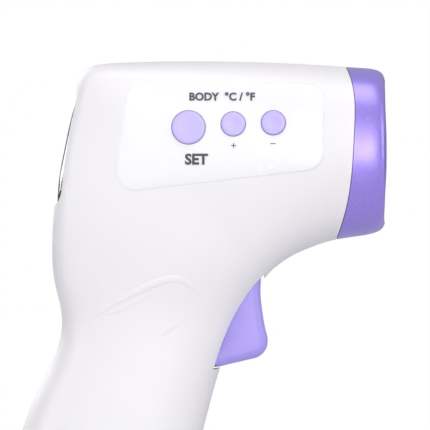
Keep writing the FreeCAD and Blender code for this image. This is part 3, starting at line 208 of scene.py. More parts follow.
# %% A recipe for metal
def metal(name, first, second, rough, marks=0.4, stretch=(1, 1, 1), depth=0.003):
    """Metallic 1 with tool marks mm wide, drawn out by stretch, in colour, roughness and bump."""
    material, tree, shader = blank(name, Metallic=1.0)
    lines = grain(tree, marks, stretch, 4)
    tint(tree, shader, between(tree, lines, 0, 1), first, second)
    tree.links.new(between(tree, lines, rough - 0.06, rough + 0.06), shader.inputs["Roughness"])
    relief(tree, shader, lines, depth)
    return material


METALS = {
    "reflector": metal("aluminium_turned_polished", "cfd0d6", "e2e3e8", 0.20, 0.25, (1, 12, 12)),
    "steel": metal("spring_steel_drawn", "9a9ca1", "b2b4b9", 0.30, 0.2, (8, 1, 1)),
    "zinc": metal("steel_zinc_plated", "a7aab2", "c0c3ca", 0.34, 0.5),
    "brass": metal("brass_drawn", "c8a55a", "d9b96e", 0.26, 0.2, (8, 1, 1)),
    "nickel": metal("steel_nickel_plated", "bdbab0", "d0cdc4", 0.24, 0.3, (1, 1, 8)),
    "aluminium_can": metal("aluminium_deep_drawn", "c3c5ca", "d6d8dc", 0.30, 0.3, (1, 1, 10)),
}
FINISH.update(METALS)
print("metals:", ", ".join(sorted(METALS)))

# %% [markdown]
# ## Board, cell, filter and display
# The circuit board is glass laminate under green solder mask: tracks show as slightly raised, lighter
# lines, which a brick pattern with long thin bricks gives. The battery's wrapper is printed film with a
# dark end. The sensor's filter is a coated silicon pane that reflects dark violet. The display is a
# clear acrylic window, a printed mask, and a glass cell that the backlight fills evenly.

# %% Materials of the inner and clear pieces
def laminate():
    """Tracks 0.8 mm apart, from a brick pattern stretched along Z, raised 0.04 mm."""
    material, tree, shader = blank("fr4_laminate_green_mask", Roughness=0.3, IOR=1.5)
    place = add(tree, "TexCoord")
    turned = add(tree, "Mapping", {"Vector": place.outputs["Object"], "Rotation": (math.pi / 2, 0, 0)})
    bricks = add(tree, "TexBrick", {"Vector": turned.outputs[0], "Scale": 100.0, "Mortar Size": 0.012,
                                    "Brick Width": 1.4, "Row Height": 0.08})
    tint(tree, shader, bricks.outputs["Fac"], "1d6b3a", "2f8a50")
    relief(tree, shader, bricks.outputs["Fac"], 0.04)
    return material


BAND = 37.5


def wrapper():
    """Shrunk film, dark up to BAND mm above the floor and gold over it, with fine wrinkles."""
    material, tree, shader = blank("pvc_film_shrunk_printed", Metallic=0.35)
    place = add(tree, "TexCoord")
    split = add(tree, "SeparateXYZ", {0: place.outputs["Object"]})
    band = add(tree, "MapRange", {"Value": split.outputs["Z"], "From Min": BAND * MM,
                                  "From Max": (BAND + 0.3) * MM})
    tint(tree, shader, band.outputs[0], "23252c", "b98a3c")
    wrinkle = grain(tree, 1.2, (1, 1, 5))
    tree.links.new(between(tree, wrinkle, 0.24, 0.34), shader.inputs["Roughness"])
    relief(tree, shader, wrinkle, 0.01)
    return material


def clear(name, colour, rough, index, through=1.0):
    """Clear pane whose surface waves by 0.001 mm over 6 mm, as moulded acrylic does."""
    material, tree, shader = blank(name, IOR=index, Base_Color=linear(colour),
                                   Transmission_Weight=through)
    waves = grain(tree, 6)
    tree.links.new(between(tree, waves, rough, rough + 0.02), shader.inputs["Roughness"])
    relief(tree, shader, waves, 0.001)
    return material


def lit(name, first, second, glow):
    """Evenly lit film: two near colours over 9 mm, and a little light of its own."""
    material, tree, shader = blank(name, Roughness=0.35, Emission_Color=linear(first),
                                   Emission_Strength=glow)
    tint(tree, shader, between(tree, grain(tree, 9), 0, 1), first, second)
    return material


FINISH["board_green"] = laminate()
FINISH["cell_wrap"] = wrapper()
FINISH["window"] = clear("pmma_moulded_clear", "ffffff", 0.02, 1.49)
FINISH["filter_pane"] = clear("silicon_coated_filter", "3a2a55", 0.05, 2.4, 0.0)
FINISH["cell_glass"] = lit("lcd_glass_backlit", "b9d8cf", "c3e0d8", 0.25)
FINISH["backlight"] = lit("pmma_diffuser_printed", "eaf3ec", "f4faf5", 0.4)
print("finishes:", len(FINISH))

# %% [markdown]
# ## Finishes on the carried-over solids
# Each CAD solid names its material slot in the record. The solid's mesh is right as it is, so only its
# slot's material is swapped for the finish of the same name.

# %% Swap the plain materials
plain = sorted({m.name for node in NODES.values() for m in node.data.materials})
for node in NODES.values():
    for index, old in enumerate(node.data.materials):
        node.data.materials[index] = FINISH[old.name.split(".")[0]]
print("slots:", ", ".join(plain))

# %% [markdown]
# ## Surfaces from arrays
# Every new piece is a grid of points worked out in one go with numpy. The grid becomes quads by index
# arithmetic: point (i, j) joins its neighbours one row and one column on. Each grid closes along its
# rows, as a tube does, and is capped at its two ends. The sign of its volume tells whether the faces
# point outwards.

# %% Grid to mesh
def quads(rows, columns):
    """Corner numbers of every quad of a grid whose last column joins the first."""
    i, j = np.meshgrid(np.arange(rows - 1), np.arange(columns), indexing="ij")
    k = (j + 1) % columns
    return np.stack([i * columns + j, i * columns + k, (i + 1) * columns + k, (i + 1) * columns + j],
                    -1).reshape(-1, 4)


def six_volumes(flat, cells, ends):
    """Six times the volume: each triangle's corner product, summed over the quads and the caps."""
    a, b, c, d = (flat[cells[:, k]] for k in range(4))
    total = np.einsum("ij,ij->", a, np.cross(b, c)) + np.einsum("ij,ij->", a, np.cross(c, d))
    for end in ends:
        middle = np.broadcast_to(flat[end].mean(0), (len(end), 3))
        total += np.einsum("ij,ij->", np.cross(flat[end], flat[np.roll(end, -1)]), middle)
    return total


def surface(name, grids, slot, body, sharp=35):
    """One mesh from closed grids of points in mm; a grid with a negative volume is turned inside out."""
    points, faces, start, space = [], [], 0, 0.0
    for grid in grids:
        rows, columns = grid.shape[:2]
        flat = np.asarray(grid, float).reshape(-1, 3)
        cells = quads(rows, columns)
        ends = [np.arange(columns)[::-1], np.arange(columns) + (rows - 1) * columns]
        volume = six_volumes(flat, cells, ends)
        loops = cells.tolist() + [end.tolist() for end in ends]
        faces += [[start + k for k in (loop if volume > 0 else loop[::-1])] for loop in loops]
        points.append(flat)
        start += len(flat)
        space += abs(volume) / 6
    mesh = bpy.data.meshes.new(name)
    mesh.from_pydata((np.concatenate(points) * MM).tolist(), [], faces)
    mesh.update()
    mesh.shade_smooth()
    mesh.set_sharp_from_angle(angle=math.radians(sharp))
    piece = bpy.data.objects.new(name, mesh)
    bpy.context.scene.collection.objects.link(piece)
    mesh.materials.append(FINISH[slot])
    if body is not None:
        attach(piece, body)
    print(name, "has", len(mesh.polygons), "faces and", round(space, 2), "cubic mm")
    return piece


# %% [markdown]
# ## The trigger
# The trigger is a curved blade that a forefinger pulls. Its side outline is one closed curve: a long
# front face, a full lower corner, a slanted foot, and a root that turns on the pin inside the neck. The
# outline is carried across the width, and near each flank it draws in along a quarter circle, which
# gives the soft edge of a moulded key. A closed spline through a few points is smooth and easy to trim.

# %% Closed splines and rounded slabs
def through(a, b, c, d, steps):
    """Catmull-Rom span from b to c: a cubic in t whose slopes are (c - a) / 2 and (d - b) / 2."""
    t = np.linspace(0, 1, steps, endpoint=False)[None, :, None]
    return 0.5 * (2 * b + (c - a) * t + (2 * a - 5 * b + 4 * c - d) * t ** 2
                  + (3 * b - a - 3 * c + d) * t ** 3)


def closed_curve(corners, steps):
    """A smooth closed curve through the corners, with steps points on each span."""
    p = np.asarray(corners, float)
    a, b, c, d = (np.roll(p, shift, 0)[:, None, :] for shift in (1, 0, -1, -2))
    return through(a, b, c, d, steps).reshape(-1, p.shape[1])


def unit(rows):
    """Each row over its own length."""
    return rows / np.linalg.norm(rows, axis=1, keepdims=True)


def inward(curve):
    """Unit normals that point into a closed flat curve: its tangent turned by a right angle."""
    tangent = unit(np.roll(curve, -1, 0) - np.roll(curve, 1, 0))
    x, z = curve.T
    area = np.sum(x * np.roll(z, -1) - np.roll(x, -1) * z)
    return np.stack([-tangent[:, 1], tangent[:, 0]], -1) * np.sign(area)


def slab(curve, half, radius, steps):
    """The outline from y = -half to half; at each flank it draws in by radius - radius cos(angle),
    fully where the outline faces +X or down, and by a tenth at the root that stays in the slot."""
    angle = np.linspace(np.pi / 2, 0, steps)
    reach, fall = radius * np.sin(angle), radius - radius * np.cos(angle)
    y = np.concatenate([-half + radius - reach, half - radius + reach[::-1]])
    draw = np.concatenate([fall, fall[::-1]])
    normal = inward(curve)
    facing = np.maximum(-normal[:, 0], normal[:, 1])
    share = 0.1 + 0.9 * np.clip(facing, 0, 1) ** 0.7
    share = sum(np.roll(share, k) for k in range(-4, 5)) / 9
    inner = curve[None] + (normal * share[:, None])[None] * draw[:, None, None]
    return np.stack([inner[..., 0], np.broadcast_to(y[:, None], inner.shape[:2]), inner[..., 1]], -1)


# %% Trigger
BLADE = ((45.9, 98.5), (45.7, 94), (45.85, 91), (46.3, 87.5), (46.9, 84), (47.6, 81), (47.2, 78.3),
         (45.2, 76.2), (41.8, 75.25), (37.5, 74.25), (34.3, 73.5), (32.9, 74.0), (33.3, 77.5), (34.6, 82),
         (36.2, 88), (36.5, 94), (37.2, 98.8), (40.2, 102.4), (44, 102.4), (45.8, 100.8))
HALF_WIDTH, SOFT_EDGE = 6.95, 2.6
blade = slab(closed_curve(BLADE, 8), HALF_WIDTH, SOFT_EDGE, 12)
trigger = surface("trigger_blade", [blade], "trigger_lilac", "trigger_lever", sharp=60)
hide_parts("trigger")

# %% [markdown]
# ## The spring behind the trigger
# A coil of steel wire pushes the trigger forward. One end stands on a rib of the housing, the other in a
# round seat in the trigger, and the coil shortens as the trigger is pulled. The seat is drilled by a
# turned piece: a profile of radius against depth, carried round a circle. The coil is a circle of wire
# carried along a helix whose pitch closes up at both ends.

# %% Turned pieces
def circle(steps):
    """Angles of a full turn, the last one step short of the first."""
    return np.linspace(0, 2 * np.pi, steps, endpoint=False)


def turned(centre, profile, around=96):
    """Each profile point (radius, y) goes round the centre (x, z) as radius cos, radius sin."""
    radius, y = np.asarray(profile, float).T
    angle = circle(around)
    return np.stack([centre[0] + radius[:, None] * np.cos(angle), np.repeat(y[:, None], around, 1),
                     centre[1] + radius[:, None] * np.sin(angle)], -1)


def bar_of(radius, low, high):
    """Profile of a plain round bar from low to high, closed by a dot at each end."""
    return [(0.02, low), (radius, low), (radius, high), (0.02, high)]


def drill(piece, tools, sharp):
    """The piece less its tools, by an exact boolean whose result becomes its mesh."""
    for tool in tools:
        cutting = piece.modifiers.new(tool.name, "BOOLEAN")
        cutting.object, cutting.operation, cutting.solver = tool, "DIFFERENCE", "EXACT"
    bpy.context.view_layer.update()
    mesh = bpy.data.meshes.new_from_object(piece.evaluated_get(bpy.context.evaluated_depsgraph_get()))
    mesh.set_sharp_from_angle(angle=math.radians(sharp))
    piece.modifiers.clear()
    piece.data = mesh
    for tool in tools:
        bpy.data.objects.remove(tool)
    print(piece.name, "drilled:", len(mesh.polygons), "faces")


# %% Seat and coil
def helix(low, high, height, radius, wire, turns, around=14):
    """Wire circles along x = low + length (s - 0.6 sin(2 pi s) / 2 pi), which closes both ends up."""
    s = np.linspace(0, 1, turns * 30)
    x = low + wire + (high - low - 2 * wire) * (s - 0.6 * np.sin(2 * np.pi * s) / (2 * np.pi))
    out = np.stack([0 * s, np.cos(2 * np.pi * turns * s), np.sin(2 * np.pi * turns * s)], -1)
    centre = np.stack([x, 0 * s, height + 0 * s], -1) + radius * out
    side = np.cross(unit(np.gradient(centre, axis=0)), out)
    angle = circle(around)[None, :, None]
    return centre[:, None] + wire * (np.cos(angle) * out[:, None] + np.sin(angle) * side[:, None])


# The coil stands between two values of x, in mm, at the height of its axis, and the radii follow.
RIB, SEAT_END, AXIS = 27.0, 36.5, 80.0
COIL, WIRE, TURNS, SEAT = 2.4, 0.3, 5, 2.95
# A bar turned about Y lies along X once its first two coordinates change places.
seat = turned((0, AXIS), bar_of(SEAT, 20, SEAT_END + 0.1), 48)[..., [1, 0, 2]]
seat_bore = surface("seat_bore", [seat], "trigger_lilac", "trigger_lever")
drill(trigger, [seat_bore], 60)
coil = surface("trigger_coil", [helix(RIB, SEAT_END, AXIS, COIL, WIRE, TURNS)], "steel", None, sharp=80)
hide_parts("trigger_spring")
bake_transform(coil)

# %% [markdown]
# ## The keys
# Each key is turned about an axis that crosses the panel: a shallow dish for the fingertip, a rounded
# rim, a straight side and a flange that keeps it in the shell.

# %% Key caps
# Depth of the dish, radius of the rim, rim's share of the face, width and thickness of the flange.
DISH, RIM, LAND, STEP_OUT, THICK = 0.1, 0.45, 0.75, 0.8, 1.0


def key_profile(radius, face, back, flange):
    """Dish whose depth falls as half a cosine, a rim of a quarter circle, the side, and the flange."""
    r = np.linspace(0.02, radius - LAND, 14)
    dish = np.stack([r, face + DISH / 2 * (1 + np.cos(np.pi * r / (radius - LAND)))], -1)
    angle = np.linspace(0, np.pi / 2, 8)[1:]
    rim = np.stack([radius - RIM + RIM * np.sin(angle), face + RIM - RIM * np.cos(angle)], -1)
    side = [(radius, face + 1.6), (radius, back - THICK - 0.05), (flange, back - THICK), (flange, back),
            (0.02, back)]
    return np.concatenate([dish, rim, side])


for key in ("settings", "plus", "minus"):
    low, high = (np.array(v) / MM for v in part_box(key + "_button"))
    flange = (high[0] - low[0]) / 2
    centre = ((low[0] + high[0]) / 2, (low[2] + high[2]) / 2)
    profile = key_profile(flange - STEP_OUT, low[1], high[1], flange)
    cap = surface(key + "_cap", [turned(centre, profile)], "button_lilac", key + "_key")
    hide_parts(key + "_button")

# %% [markdown]
# ## The screws
# Six thread-forming screws close the halves from the left. Their heads lie in deep counterbores, so
# what shows is a low dome with a cross recess. On a round grid the dome is a height over radius, and
# the recess is pushed in wherever a point lies inside one of two crossed bars.

# %% Screws with a cross recess
def screw(centre, radius, low, high, shank, tip):
    """Height over radius r: a dome, less a cross 0.5 mm wide that fades out at 0.62 of the radius."""
    r = np.linspace(0.01, 1, 26)[:, None] * radius
    angle = circle(96)[None, :]
    x, z = r * np.cos(angle), r * np.sin(angle)
    dome = high - 0.35 * (r / radius) ** 2.5 + 0 * x
    bar = 1 / (1 + np.exp((np.minimum(np.abs(x), np.abs(z)) - 0.28) / 0.04))
    depth = 0.75 * bar / (1 + np.exp((r - 0.62 * radius) / 0.05))
    top = np.stack([centre[0] + x, dome - depth, centre[1] + z], -1)
    body = turned(centre, [(radius, low), (shank, low), (shank, tip + 0.6), (0.05, tip)])
    return np.concatenate([top, body])


SCREWS = ((60.6, 147.6), (10, 149.2), (57, 113), (1, 109), (20, 67), (11, 10))
HEAD, HEAD_DEPTH, SHANK = 2.4, 2.0, 1.0
tip, crown = (v.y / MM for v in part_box("housing_screws"))
heads = [screw(centre, HEAD, crown - HEAD_DEPTH, crown, SHANK, tip) for centre in SCREWS]
screws = surface("screw_heads", heads, "zinc", "body", sharp=50)
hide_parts("housing_screws")

# %% [markdown]
# ## The display's digits
# A segment display shows a number with straight bars that end in points, so that neighbours meet along
# a slanted gap. The bars are etched electrodes on the glass, and here each is a thin plate that lies on
# the cell, under the window. The glass leans back by a given 11.5 degrees, and its middle and its outer
# face are found from the cell's corners.

# %% Plane of the glass
LEAN = math.radians(11.5)
RIGHT = np.array([0.0, -1.0, 0.0])
UP = np.array([math.sin(LEAN), 0.0, math.cos(LEAN)])
OUT = np.array([-math.cos(LEAN), 0.0, math.sin(LEAN)])
corners = np.array([v.co for v in NODES["display_cell"].data.vertices]) / MM
level = (corners @ OUT).max()
middle = corners.mean(0)
GLASS = middle + OUT * (level - middle @ OUT)
print("glass centre", GLASS.round(2), "mm")


# %% Segments
def plate(outline, thick=0.05):
    """A flat outline in the glass's plane, raised by thick mm: two loops, the lower on the glass."""
    flat = GLASS + outline[:, :1] * RIGHT + outline[:, 1:] * UP
    return np.stack([flat + 0.01 * OUT, flat + (0.01 + thick) * OUT])


def bar(start, end, width):
    """A bar with pointed ends: six points, set in by half the width at each end."""
    start, end = np.array(start, float), np.array(end, float)
    along = (end - start) / np.linalg.norm(end - start)
    side = np.array([-along[1], along[0]]) * width / 2
    start, end = start + along * width * 0.12, end - along * width * 0.12
    inner, outer = start + along * width / 2, end - along * width / 2
    return np.array([start, inner - side, outer - side, end, outer + side, inner + side])


SEGMENTS = {"a": ((0, 2), (1, 2)), "b": ((1, 2), (1, 1)), "c": ((1, 1), (1, 0)), "d": ((0, 0), (1, 0)),
            "e": ((0, 0), (0, 1)), "f": ((0, 1), (0, 2)), "g": ((0, 1), (1, 1))}
SHAPES = {"3": "abcdg", "6": "acdefg", "5": "acdfg", "C": "adef"}


def digit(mark, left, base, width, height, thick):
    """The mark's lit bars, in a box width by height that leans 6 degrees to the right."""
    def spot(u, v):
        return left + u * width + v * height / 2 * math.tan(math.radians(6)), base + v * height / 2
    return [bar(spot(*SEGMENTS[s][0]), spot(*SEGMENTS[s][1]), thick) for s in SHAPES[mark]]


def ring(u, v, radius):
    """A round dot with twenty sides."""
    angle = circle(20)
    return np.stack([u + radius * np.cos(angle), v + radius * np.sin(angle)], -1)


# Width, height and stroke of a large digit, its foot, and then the small battery sign's box and stroke.
BIG, FOOT = (4.2, 9.5, 1.15), -4.5
LEFT, NEAR, LOW, HIGH, LINE = -9.2, -6.2, 7.6, 9.6, 0.5
marks = digit("3", -9.6, FOOT, *BIG) + digit("6", -3.6, FOOT, *BIG) + [ring(2.1, FOOT + 0.2, 0.62)]
marks += digit("5", 3.4, FOOT, *BIG) + [ring(5.2, 9.0, 0.5)] + digit("C", 6.4, 6.4, 1.7, 3.2, LINE)
marks += [bar((LEFT, HIGH), (NEAR, HIGH), LINE), bar((LEFT, LOW), (NEAR, LOW), LINE),
          bar((LEFT, LOW), (LEFT, HIGH), LINE), bar((NEAR, LOW), (NEAR, HIGH), LINE),
          bar((-8.6, 8.6), (-6.9, 8.6), 1.0)]
surface("display_segments", [plate(m) for m in marks], "mask_black", "body")

# %% [markdown]
# ## The control panel
# The keys stand in a thin inlay of polished white polycarbonate, heat-formed to the curve of the
# shell and bonded in a shallow recess. Its edge is rolled down onto the shell, so it hardly shows.
# The curve of the shell is measured by rays on the CAD panel and smoothed by a polynomial in x and z.
# The inlay is that surface inside a rounded outline, drawn down along a quarter circle at the rim, and
# three bores are cut through it for the keys.


# %% Rounded outlines and the shell's curve
def rounded(corners, radius, steps):
    """Each corner becomes an arc: from the tangent point, radius tan(half turn) away, to its twin."""
    p = np.asarray(corners, float)
    back, ahead = unit(np.roll(p, 1, 0) - p), unit(np.roll(p, -1, 0) - p)
    half = np.arccos(np.sum(back * ahead, 1, keepdims=True)) / 2
    centre = p + unit(back + ahead) * radius / np.sin(half)
    start, end = p + back * radius / np.tan(half) - centre, p + ahead * radius / np.tan(half) - centre
    sweep = np.pi - 2 * half[:, :, None]
    s = np.linspace(0, 1, steps)[None, :, None]
    arc = (np.sin((1 - s) * sweep) * start[:, None] + np.sin(s * sweep) * end[:, None]) / np.sin(sweep)
    return (centre[:, None] + arc).reshape(-1, 2)


def skin_of(name):
    """A search tree of the solid's triangles, in metres."""
    mesh = NODES[name].data
    return BVHTree.FromPolygons([v.co for v in mesh.vertices], [list(p.vertices) for p in mesh.polygons])


OUTSIDE, FLANK = 30.0, 20.0


def drop(tree, x, z, side):
    """The y in mm at which a ray from outside meets the skin; side is -1 for the right half."""
    hit = tree.ray_cast(Vector((x * MM, side * OUTSIDE * MM, z * MM)), Vector((0, -side, 0)))[0]
    return side * FLANK if hit is None else hit.y / MM


EDGE = rounded(((6.8, 119.7), (62, 126.2), (62.4, 148.4), (10.8, 148.8)), 5, 24)
KEYS = {"settings": (26.6, 137, 4.4), "plus": (38.4, 137.9, 3.2), "minus": (49, 138.2, 3.2)}
tree = skin_of("button_panel")
probe = np.array([(x, z) for x in np.linspace(11, 59, 25) for z in np.linspace(124, 146, 12)
                  if all(math.hypot(x - k[0], z - k[1]) > k[2] + 1 for k in KEYS.values())])
found = np.array([drop(tree, x, z, -1) for x, z in probe])


def powers(x, z):
    """All products of x and z up to the fourth degree, both scaled to about -1 to 1 over the panel."""
    u, v = (np.asarray(x) - 35) / 30, (np.asarray(z) - 135) / 15
    return np.stack([u ** i * v ** j for i in range(5) for j in range(5 - i)], -1)


weights = np.linalg.lstsq(powers(*probe.T), found, rcond=None)[0]
print("panel curve fits to", round(float(np.abs(powers(*probe.T) @ weights - found).max()), 3), "mm")


# %% Inlay with three bores
# Fall of the rim, reach past the outline, width of the roll, thickness, and gap round each key.
PROUD, BEYOND, ROLL, SHEET, PLAY = 0.35, 0.45, 0.9, 0.7, 0.14


def inlay(edge):
    """Rings from the middle to the rim, where the height falls by a quarter ellipse, then the back."""
    middle = edge.mean(0)
    ray = edge - middle
    length = np.linalg.norm(ray, axis=1)[:, None]
    rings = [(share, 0.0) for share in np.linspace(0.01, 0.9, 40)]
    rings += [((length + BEYOND - ROLL * (1 - math.cos(a))) / length, PROUD * 1.25 * (1 - math.sin(a)))
              for a in np.linspace(np.pi / 2, 0, 9)]
    rings += [((length + BEYOND - ROLL) / length, PROUD + SHEET), (0.01, PROUD + SHEET)]
    rows = []
    for scale, fall in rings:
        x, z = (middle + ray * scale).T
        rows.append(np.stack([x, powers(x, z) @ weights + fall, z], -1))
    return np.stack(rows)


panel = surface("panel_inlay", [inlay(EDGE)], "panel", "body", sharp=40)
bores = [surface(key + "_bore", [turned((x, z), bar_of(radius + PLAY, -25, -10))], "panel", "body")
         for key, (x, z, radius) in KEYS.items()]
drill(panel, bores, 40)
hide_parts("button_panel")

# %% [markdown]
# ## The display's lens
# The window is a moulded acrylic lens. Its back is flat against the printed mask, and its face bulges
# by a millimetre and a quarter across the handle, to carry on the round back of the shell. Its outline
# is a rounded rectangle, and its height over (u, v) falls with a fourth power of v and a lower power of
# u, so that it is nearly straight along the handle and a soft arch across it.

# %% Lens
pane = np.array([v.co for v in NODES["display_window"].data.vertices]) / MM
WINDOW = pane.mean(0) - OUT * (pane.mean(0) @ OUT)
BACK, FACE = (pane @ OUT).min(), (pane @ OUT).max()
# Half the width and height, radius of the corners, rise of the crown, and height of the soft edge.
HALF_U, HALF_V, CORNER, BULGE, STRAIGHT = 14, 15.5, 4, 1.25, 0.25


def lens():
    """Rings from the back's middle over the side to the crown; crown = bulge (1-u^2.2)(1-v^4)."""
    corners = ((-HALF_U, -HALF_V), (HALF_U, -HALF_V), (HALF_U, HALF_V), (-HALF_U, HALF_V))
    edge = rounded(corners, CORNER, 12)
    rows = [WINDOW + edge * scale @ np.stack([RIGHT, UP]) + level * OUT
            for scale, level in ((0.01, BACK), (1, BACK), (1, FACE - STRAIGHT), (0.985, FACE))]
    for scale in (0.96, 0.92, 0.86, 0.78, 0.68, 0.56, 0.42, 0.28, 0.14, 0.01):
        u, v = np.abs(edge * scale).T
        crown = BULGE * (1 - (u / HALF_U) ** 2.2) * (1 - (v / HALF_V) ** 4)
        rows.append(WINDOW + edge * scale @ np.stack([RIGHT, UP]) + (FACE + crown)[:, None] * OUT)
    return np.stack(rows)


window = surface("display_lens", [lens()], "window", "body", sharp=30)
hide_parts("display_window")

# %% [markdown]
# ## Printed marks
# The keys are named by pad printing: a soft pad lifts wet ink from a plate and presses it on the panel,
# so the ink is a film that follows the surface. The letters start as flat text, become a mesh, and each
# of their points takes its depth from the panel's curve. The marks are only the generic ones: SET, plus,
# minus, the kind of reading and the two units of temperature.

# %% Ink
FINISH["ink"] = moulded("ink_pad_printed_grey", "4a4755", "54515f", 0.5, 0.2, 0.002)


# Capitals as a share of the type's size, then the gap under the ink and its thickness.
CAPITAL, LIFT, FILM = 0.7, 0.01, 0.03


def printed(name, words, x, z, height, weight=0.0):
    """Flat text with capitals height mm tall and strokes let out by weight, laid on the panel."""
    curve = bpy.data.curves.new(name, "FONT")
    curve.body, curve.align_x, curve.align_y = words, "CENTER", "CENTER"
    curve.size, curve.extrude, curve.resolution_u = height / CAPITAL * MM, FILM / 2 * MM, 3
    curve.offset = weight * MM
    flat = bpy.data.objects.new(name + "_flat", curve)
    bpy.context.scene.collection.objects.link(flat)
    bpy.context.view_layer.update()
    mesh = bpy.data.meshes.new_from_object(flat.evaluated_get(bpy.context.evaluated_depsgraph_get()))
    bpy.data.objects.remove(flat)
    text = np.array([v.co for v in mesh.vertices]) / MM
    text[:, :2] -= (text[:, :2].max(0) + text[:, :2].min(0)) / 2
    y = powers(x + text[:, 0], z + text[:, 1]) @ weights - LIFT - FILM / 2 - text[:, 2]
    placed = np.stack([x + text[:, 0], y, z + text[:, 1]], -1) * MM
    mesh.vertices.foreach_set("co", placed.ravel())
    mesh.update()
    mesh.materials.clear()
    mesh.materials.append(FINISH["ink"])
    piece = bpy.data.objects.new(name, mesh)
    bpy.context.scene.collection.objects.link(piece)
    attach(piece, "body")
    print(name, "is", round(float(np.ptp(placed[:, 0])) / MM, 1), "mm wide")


printed("mark_set", "SET", 28.7, 128.6, 2.7, 0.16)
printed("mark_plus", "+", 38.5, 132.2, 2.0)
printed("mark_minus", "−", 48.9, 132.7, 2.0)
printed("mark_units", "BODY  °C / °F", 35.5, 145.2, 2.0, 0.1)

# %% [markdown]
# ## The raised lines on the neck
# Three soft lines sweep across the neck of each half, above the grip. They are part of the moulding, a
# fifth of a millimetre proud, and they catch a thin highlight. Each is a low half-round ridge whose
# middle follows a smooth curve on the skin and which thins out to nothing at both ends.

# %% Ridges that follow the skin
def open_curve(points, steps):
    """Catmull-Rom through the points, with each end carried on by one mirrored point."""
    p = np.asarray(points, float)
    p = np.concatenate([[2 * p[0] - p[1]], p, [2 * p[-1] - p[-2]]])
    a, b, c, d = (p[k:len(p) - 3 + k, None, :] for k in range(4))
    return np.concatenate([through(a, b, c, d, steps).reshape(-1, p.shape[1]), p[-2:-1]])


STEP = 0.3


def bead(height, sink):
    """Height round a section: height sin(angle) above the skin and sink sin(angle) below it."""
    wave = np.sin(circle(24))
    return np.where(wave > 0, height * wave, sink * wave)


def ridge(points, side, width, height, skin):
    """Half-round section of width and height, both scaled by sin(pi s) to the power 0.4 along it."""
    line = open_curve(points, 14)
    y = np.array([drop(skin, x, z, side) for x, z in line])
    centre = np.stack([line[:, 0], y, line[:, 1]], -1)
    slope = np.array([[(drop(skin, x + STEP, z, side) - drop(skin, x - STEP, z, side)) / (2 * STEP),
                       (drop(skin, x, z + STEP, side) - drop(skin, x, z - STEP, side)) / (2 * STEP)]
                      for x, z in line])
    out = unit(np.stack([-slope[:, 0], np.ones(len(line)), -slope[:, 1]], -1) * side)
    across = np.cross(unit(np.gradient(centre, axis=0)), out)[:, None]
    thin = np.sin(np.pi * np.linspace(0.004, 0.996, len(line)))[:, None, None] ** 0.4
    swing = width / 2 * np.cos(circle(24))[None, :, None]
    return centre[:, None] + thin * (swing * across + bead(height, 0.25)[None, :, None] * out[:, None])


UPPER = ((1.2, 86.8), (6.5, 90.3), (12.3, 93.4), (17.5, 95.7), (22.3, 97.0), (25.6, 96.2), (28.6, 93.9))
MIDDLE = ((4.5, 87.4), (8.5, 88.9), (12.8, 91.1), (17.2, 93.2))
LOWER = ((18.2, 81.4), (20.9, 83.5), (23.4, 85.2), (25.8, 86.8))
LINES = ((UPPER, 2.0, 0.2), (MIDDLE, 1.3, 0.09), (LOWER, 1.6, 0.1))
for side, name in ((-1, "right"), (1, "left")):
    skin = skin_of(name + "_housing")
    lines = [ridge(points, side, width, height, skin) for points, width, height in LINES]
    surface(name + "_neck_lines", lines, "shell", "body", sharp=80)

# %% [markdown]
# ## The grip on the battery door
# A thumb slides the door down off the handle, so its upper end has a few straight ridges across it.
# They are the same half-round section, but laid along Y on the door's rear face.

# %% Door ridges
GRIP_HALF, GRIP_WIDTH = 4.5, 0.9


def door_ridge(z, skin):
    """Section across X and Z carried along Y, where a ray along +X meets the door."""
    y = np.linspace(-GRIP_HALF, GRIP_HALF, 33)
    x = np.array([skin.ray_cast(Vector((-0.04, v * MM, z * MM)), Vector((1, 0, 0)))[0].x / MM for v in y])
    thin = (1 - np.linspace(-0.998, 0.998, len(y))[:, None] ** 8) ** 0.5
    lift = bead(0.35, 0.3)[None] * thin
    return np.stack([x[:, None] - lift, np.broadcast_to(y[:, None], lift.shape),
                     z + GRIP_WIDTH / 2 * np.cos(circle(24))[None] * thin], -1)


DOOR = skin_of("battery_door")
ridges = [door_ridge(z, DOOR) for z in (50.5, 48.7, 46.9, 45.1)]
surface("door_grip", ridges, "shell", "door", sharp=80)

# %% [markdown]
# ## Floor, light and camera
# The thermometer stands on the foot of its handle on a plain pale floor. The light is a white room, a
# broad soft light in front, one above, and weaker ones at the sides and behind, so the shell shows
# almost no shadow. A small light low in front gives the lilac ring its bright middle, over a darker
# foot. The camera looks along +Y from far away with a long lens, which keeps the outline free of
# perspective.

# %% Floor
REACH = 1.2
floor_points = [(-REACH, -REACH, 0), (REACH, -REACH, 0), (REACH, REACH, 0), (-REACH, REACH, 0)]
floor_mesh = bpy.data.meshes.new("floor")
floor_mesh.from_pydata(floor_points, [], [[0, 1, 2, 3]])
floor = bpy.data.objects.new("floor", floor_mesh)
bpy.context.scene.collection.objects.link(floor)
floor_mesh.materials.append(moulded("paper_matt_pale", "cfcfd2", "d1d1d4", 0.85, 1.5, 0.02))
print("floor is", 2 * REACH, "m square")

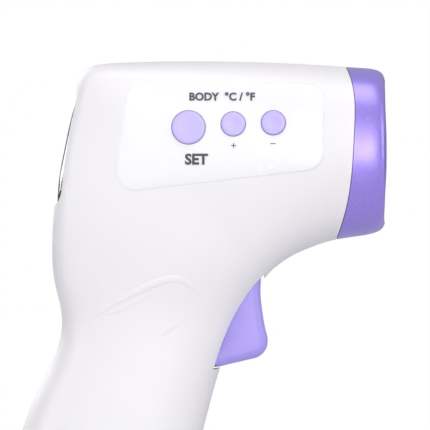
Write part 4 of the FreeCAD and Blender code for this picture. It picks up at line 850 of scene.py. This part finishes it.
# %% Room and lamps
world = bpy.data.worlds.new("white_room")
world.use_nodes = True
bpy.context.scene.world = world
DARK, BRIGHT = 0.02, 0.42
room = world.node_tree
shade = room.nodes["Background"]
way = add(room, "SeparateXYZ", {0: add(room, "TexCoord").outputs["Generated"]})
dome = add(room, "MapRange", {"Value": way.outputs["Z"], "From Min": -0.25, "From Max": 0.35,
                              "To Min": DARK, "To Max": BRIGHT})
seen = add(room, "LightPath").outputs["Is Camera Ray"]
amount = add(room, "Mix", {0: seen, 2: dome.outputs[0], 3: 1.0})
shade.inputs["Color"].default_value = (1, 1, 1, 1)
room.links.new(amount.outputs[0], shade.inputs["Strength"])


def softbox(name, place, aim, size, power):
    """A square area lamp size metres wide that faces aim."""
    lamp = bpy.data.lights.new(name, "AREA")
    lamp.shape, lamp.size, lamp.energy = "SQUARE", size, power
    box = bpy.data.objects.new(name, lamp)
    box.location = place
    box.rotation_euler = (Vector(aim) - Vector(place)).to_track_quat("-Z", "Y").to_euler()
    bpy.context.scene.collection.objects.link(box)


HEART, NOSE = (0.03, 0, 0.11), (0.07, 0, 0.13)
LAMPS = {
    "front_box": ((0.08, -1.0, 0.2), HEART, 0.85, 3.9),
    "low_box": ((0.28, -1.05, 0.13), NOSE, 0.3, 1.2),
    "top_box": ((0.1, -0.2, 0.95), HEART, 0.6, 2.4),
    "rear_box": ((-0.9, -0.55, 0.3), HEART, 0.5, 2.2),
    "nose_box": ((0.9, -0.3, 0.3), HEART, 0.5, 1.6),
    "far_box": ((-0.5, 0.9, 0.5), HEART, 0.7, 3.4),
}
for name, lamp in LAMPS.items():
    softbox(name, *lamp)
print("lamps:", round(sum(lamp[-1] for lamp in LAMPS.values()), 1), "W")

# %% Camera
lens, sensor, view_width = 0.6, 0.036, 0.11467
camera = bpy.data.cameras.new("camera")
camera.lens, camera.sensor_width = lens / MM, sensor / MM
eye = bpy.data.objects.new("camera", camera)
eye.location = (0.0336, -view_width * lens / sensor, 0.11387)
eye.rotation_euler = (math.pi / 2, 0, 0)
bpy.context.scene.collection.objects.link(eye)
bpy.context.scene.camera = eye
bpy.context.scene.view_settings.view_transform = "Standard"
print("camera is", round(-eye.location.y, 3), "m away")
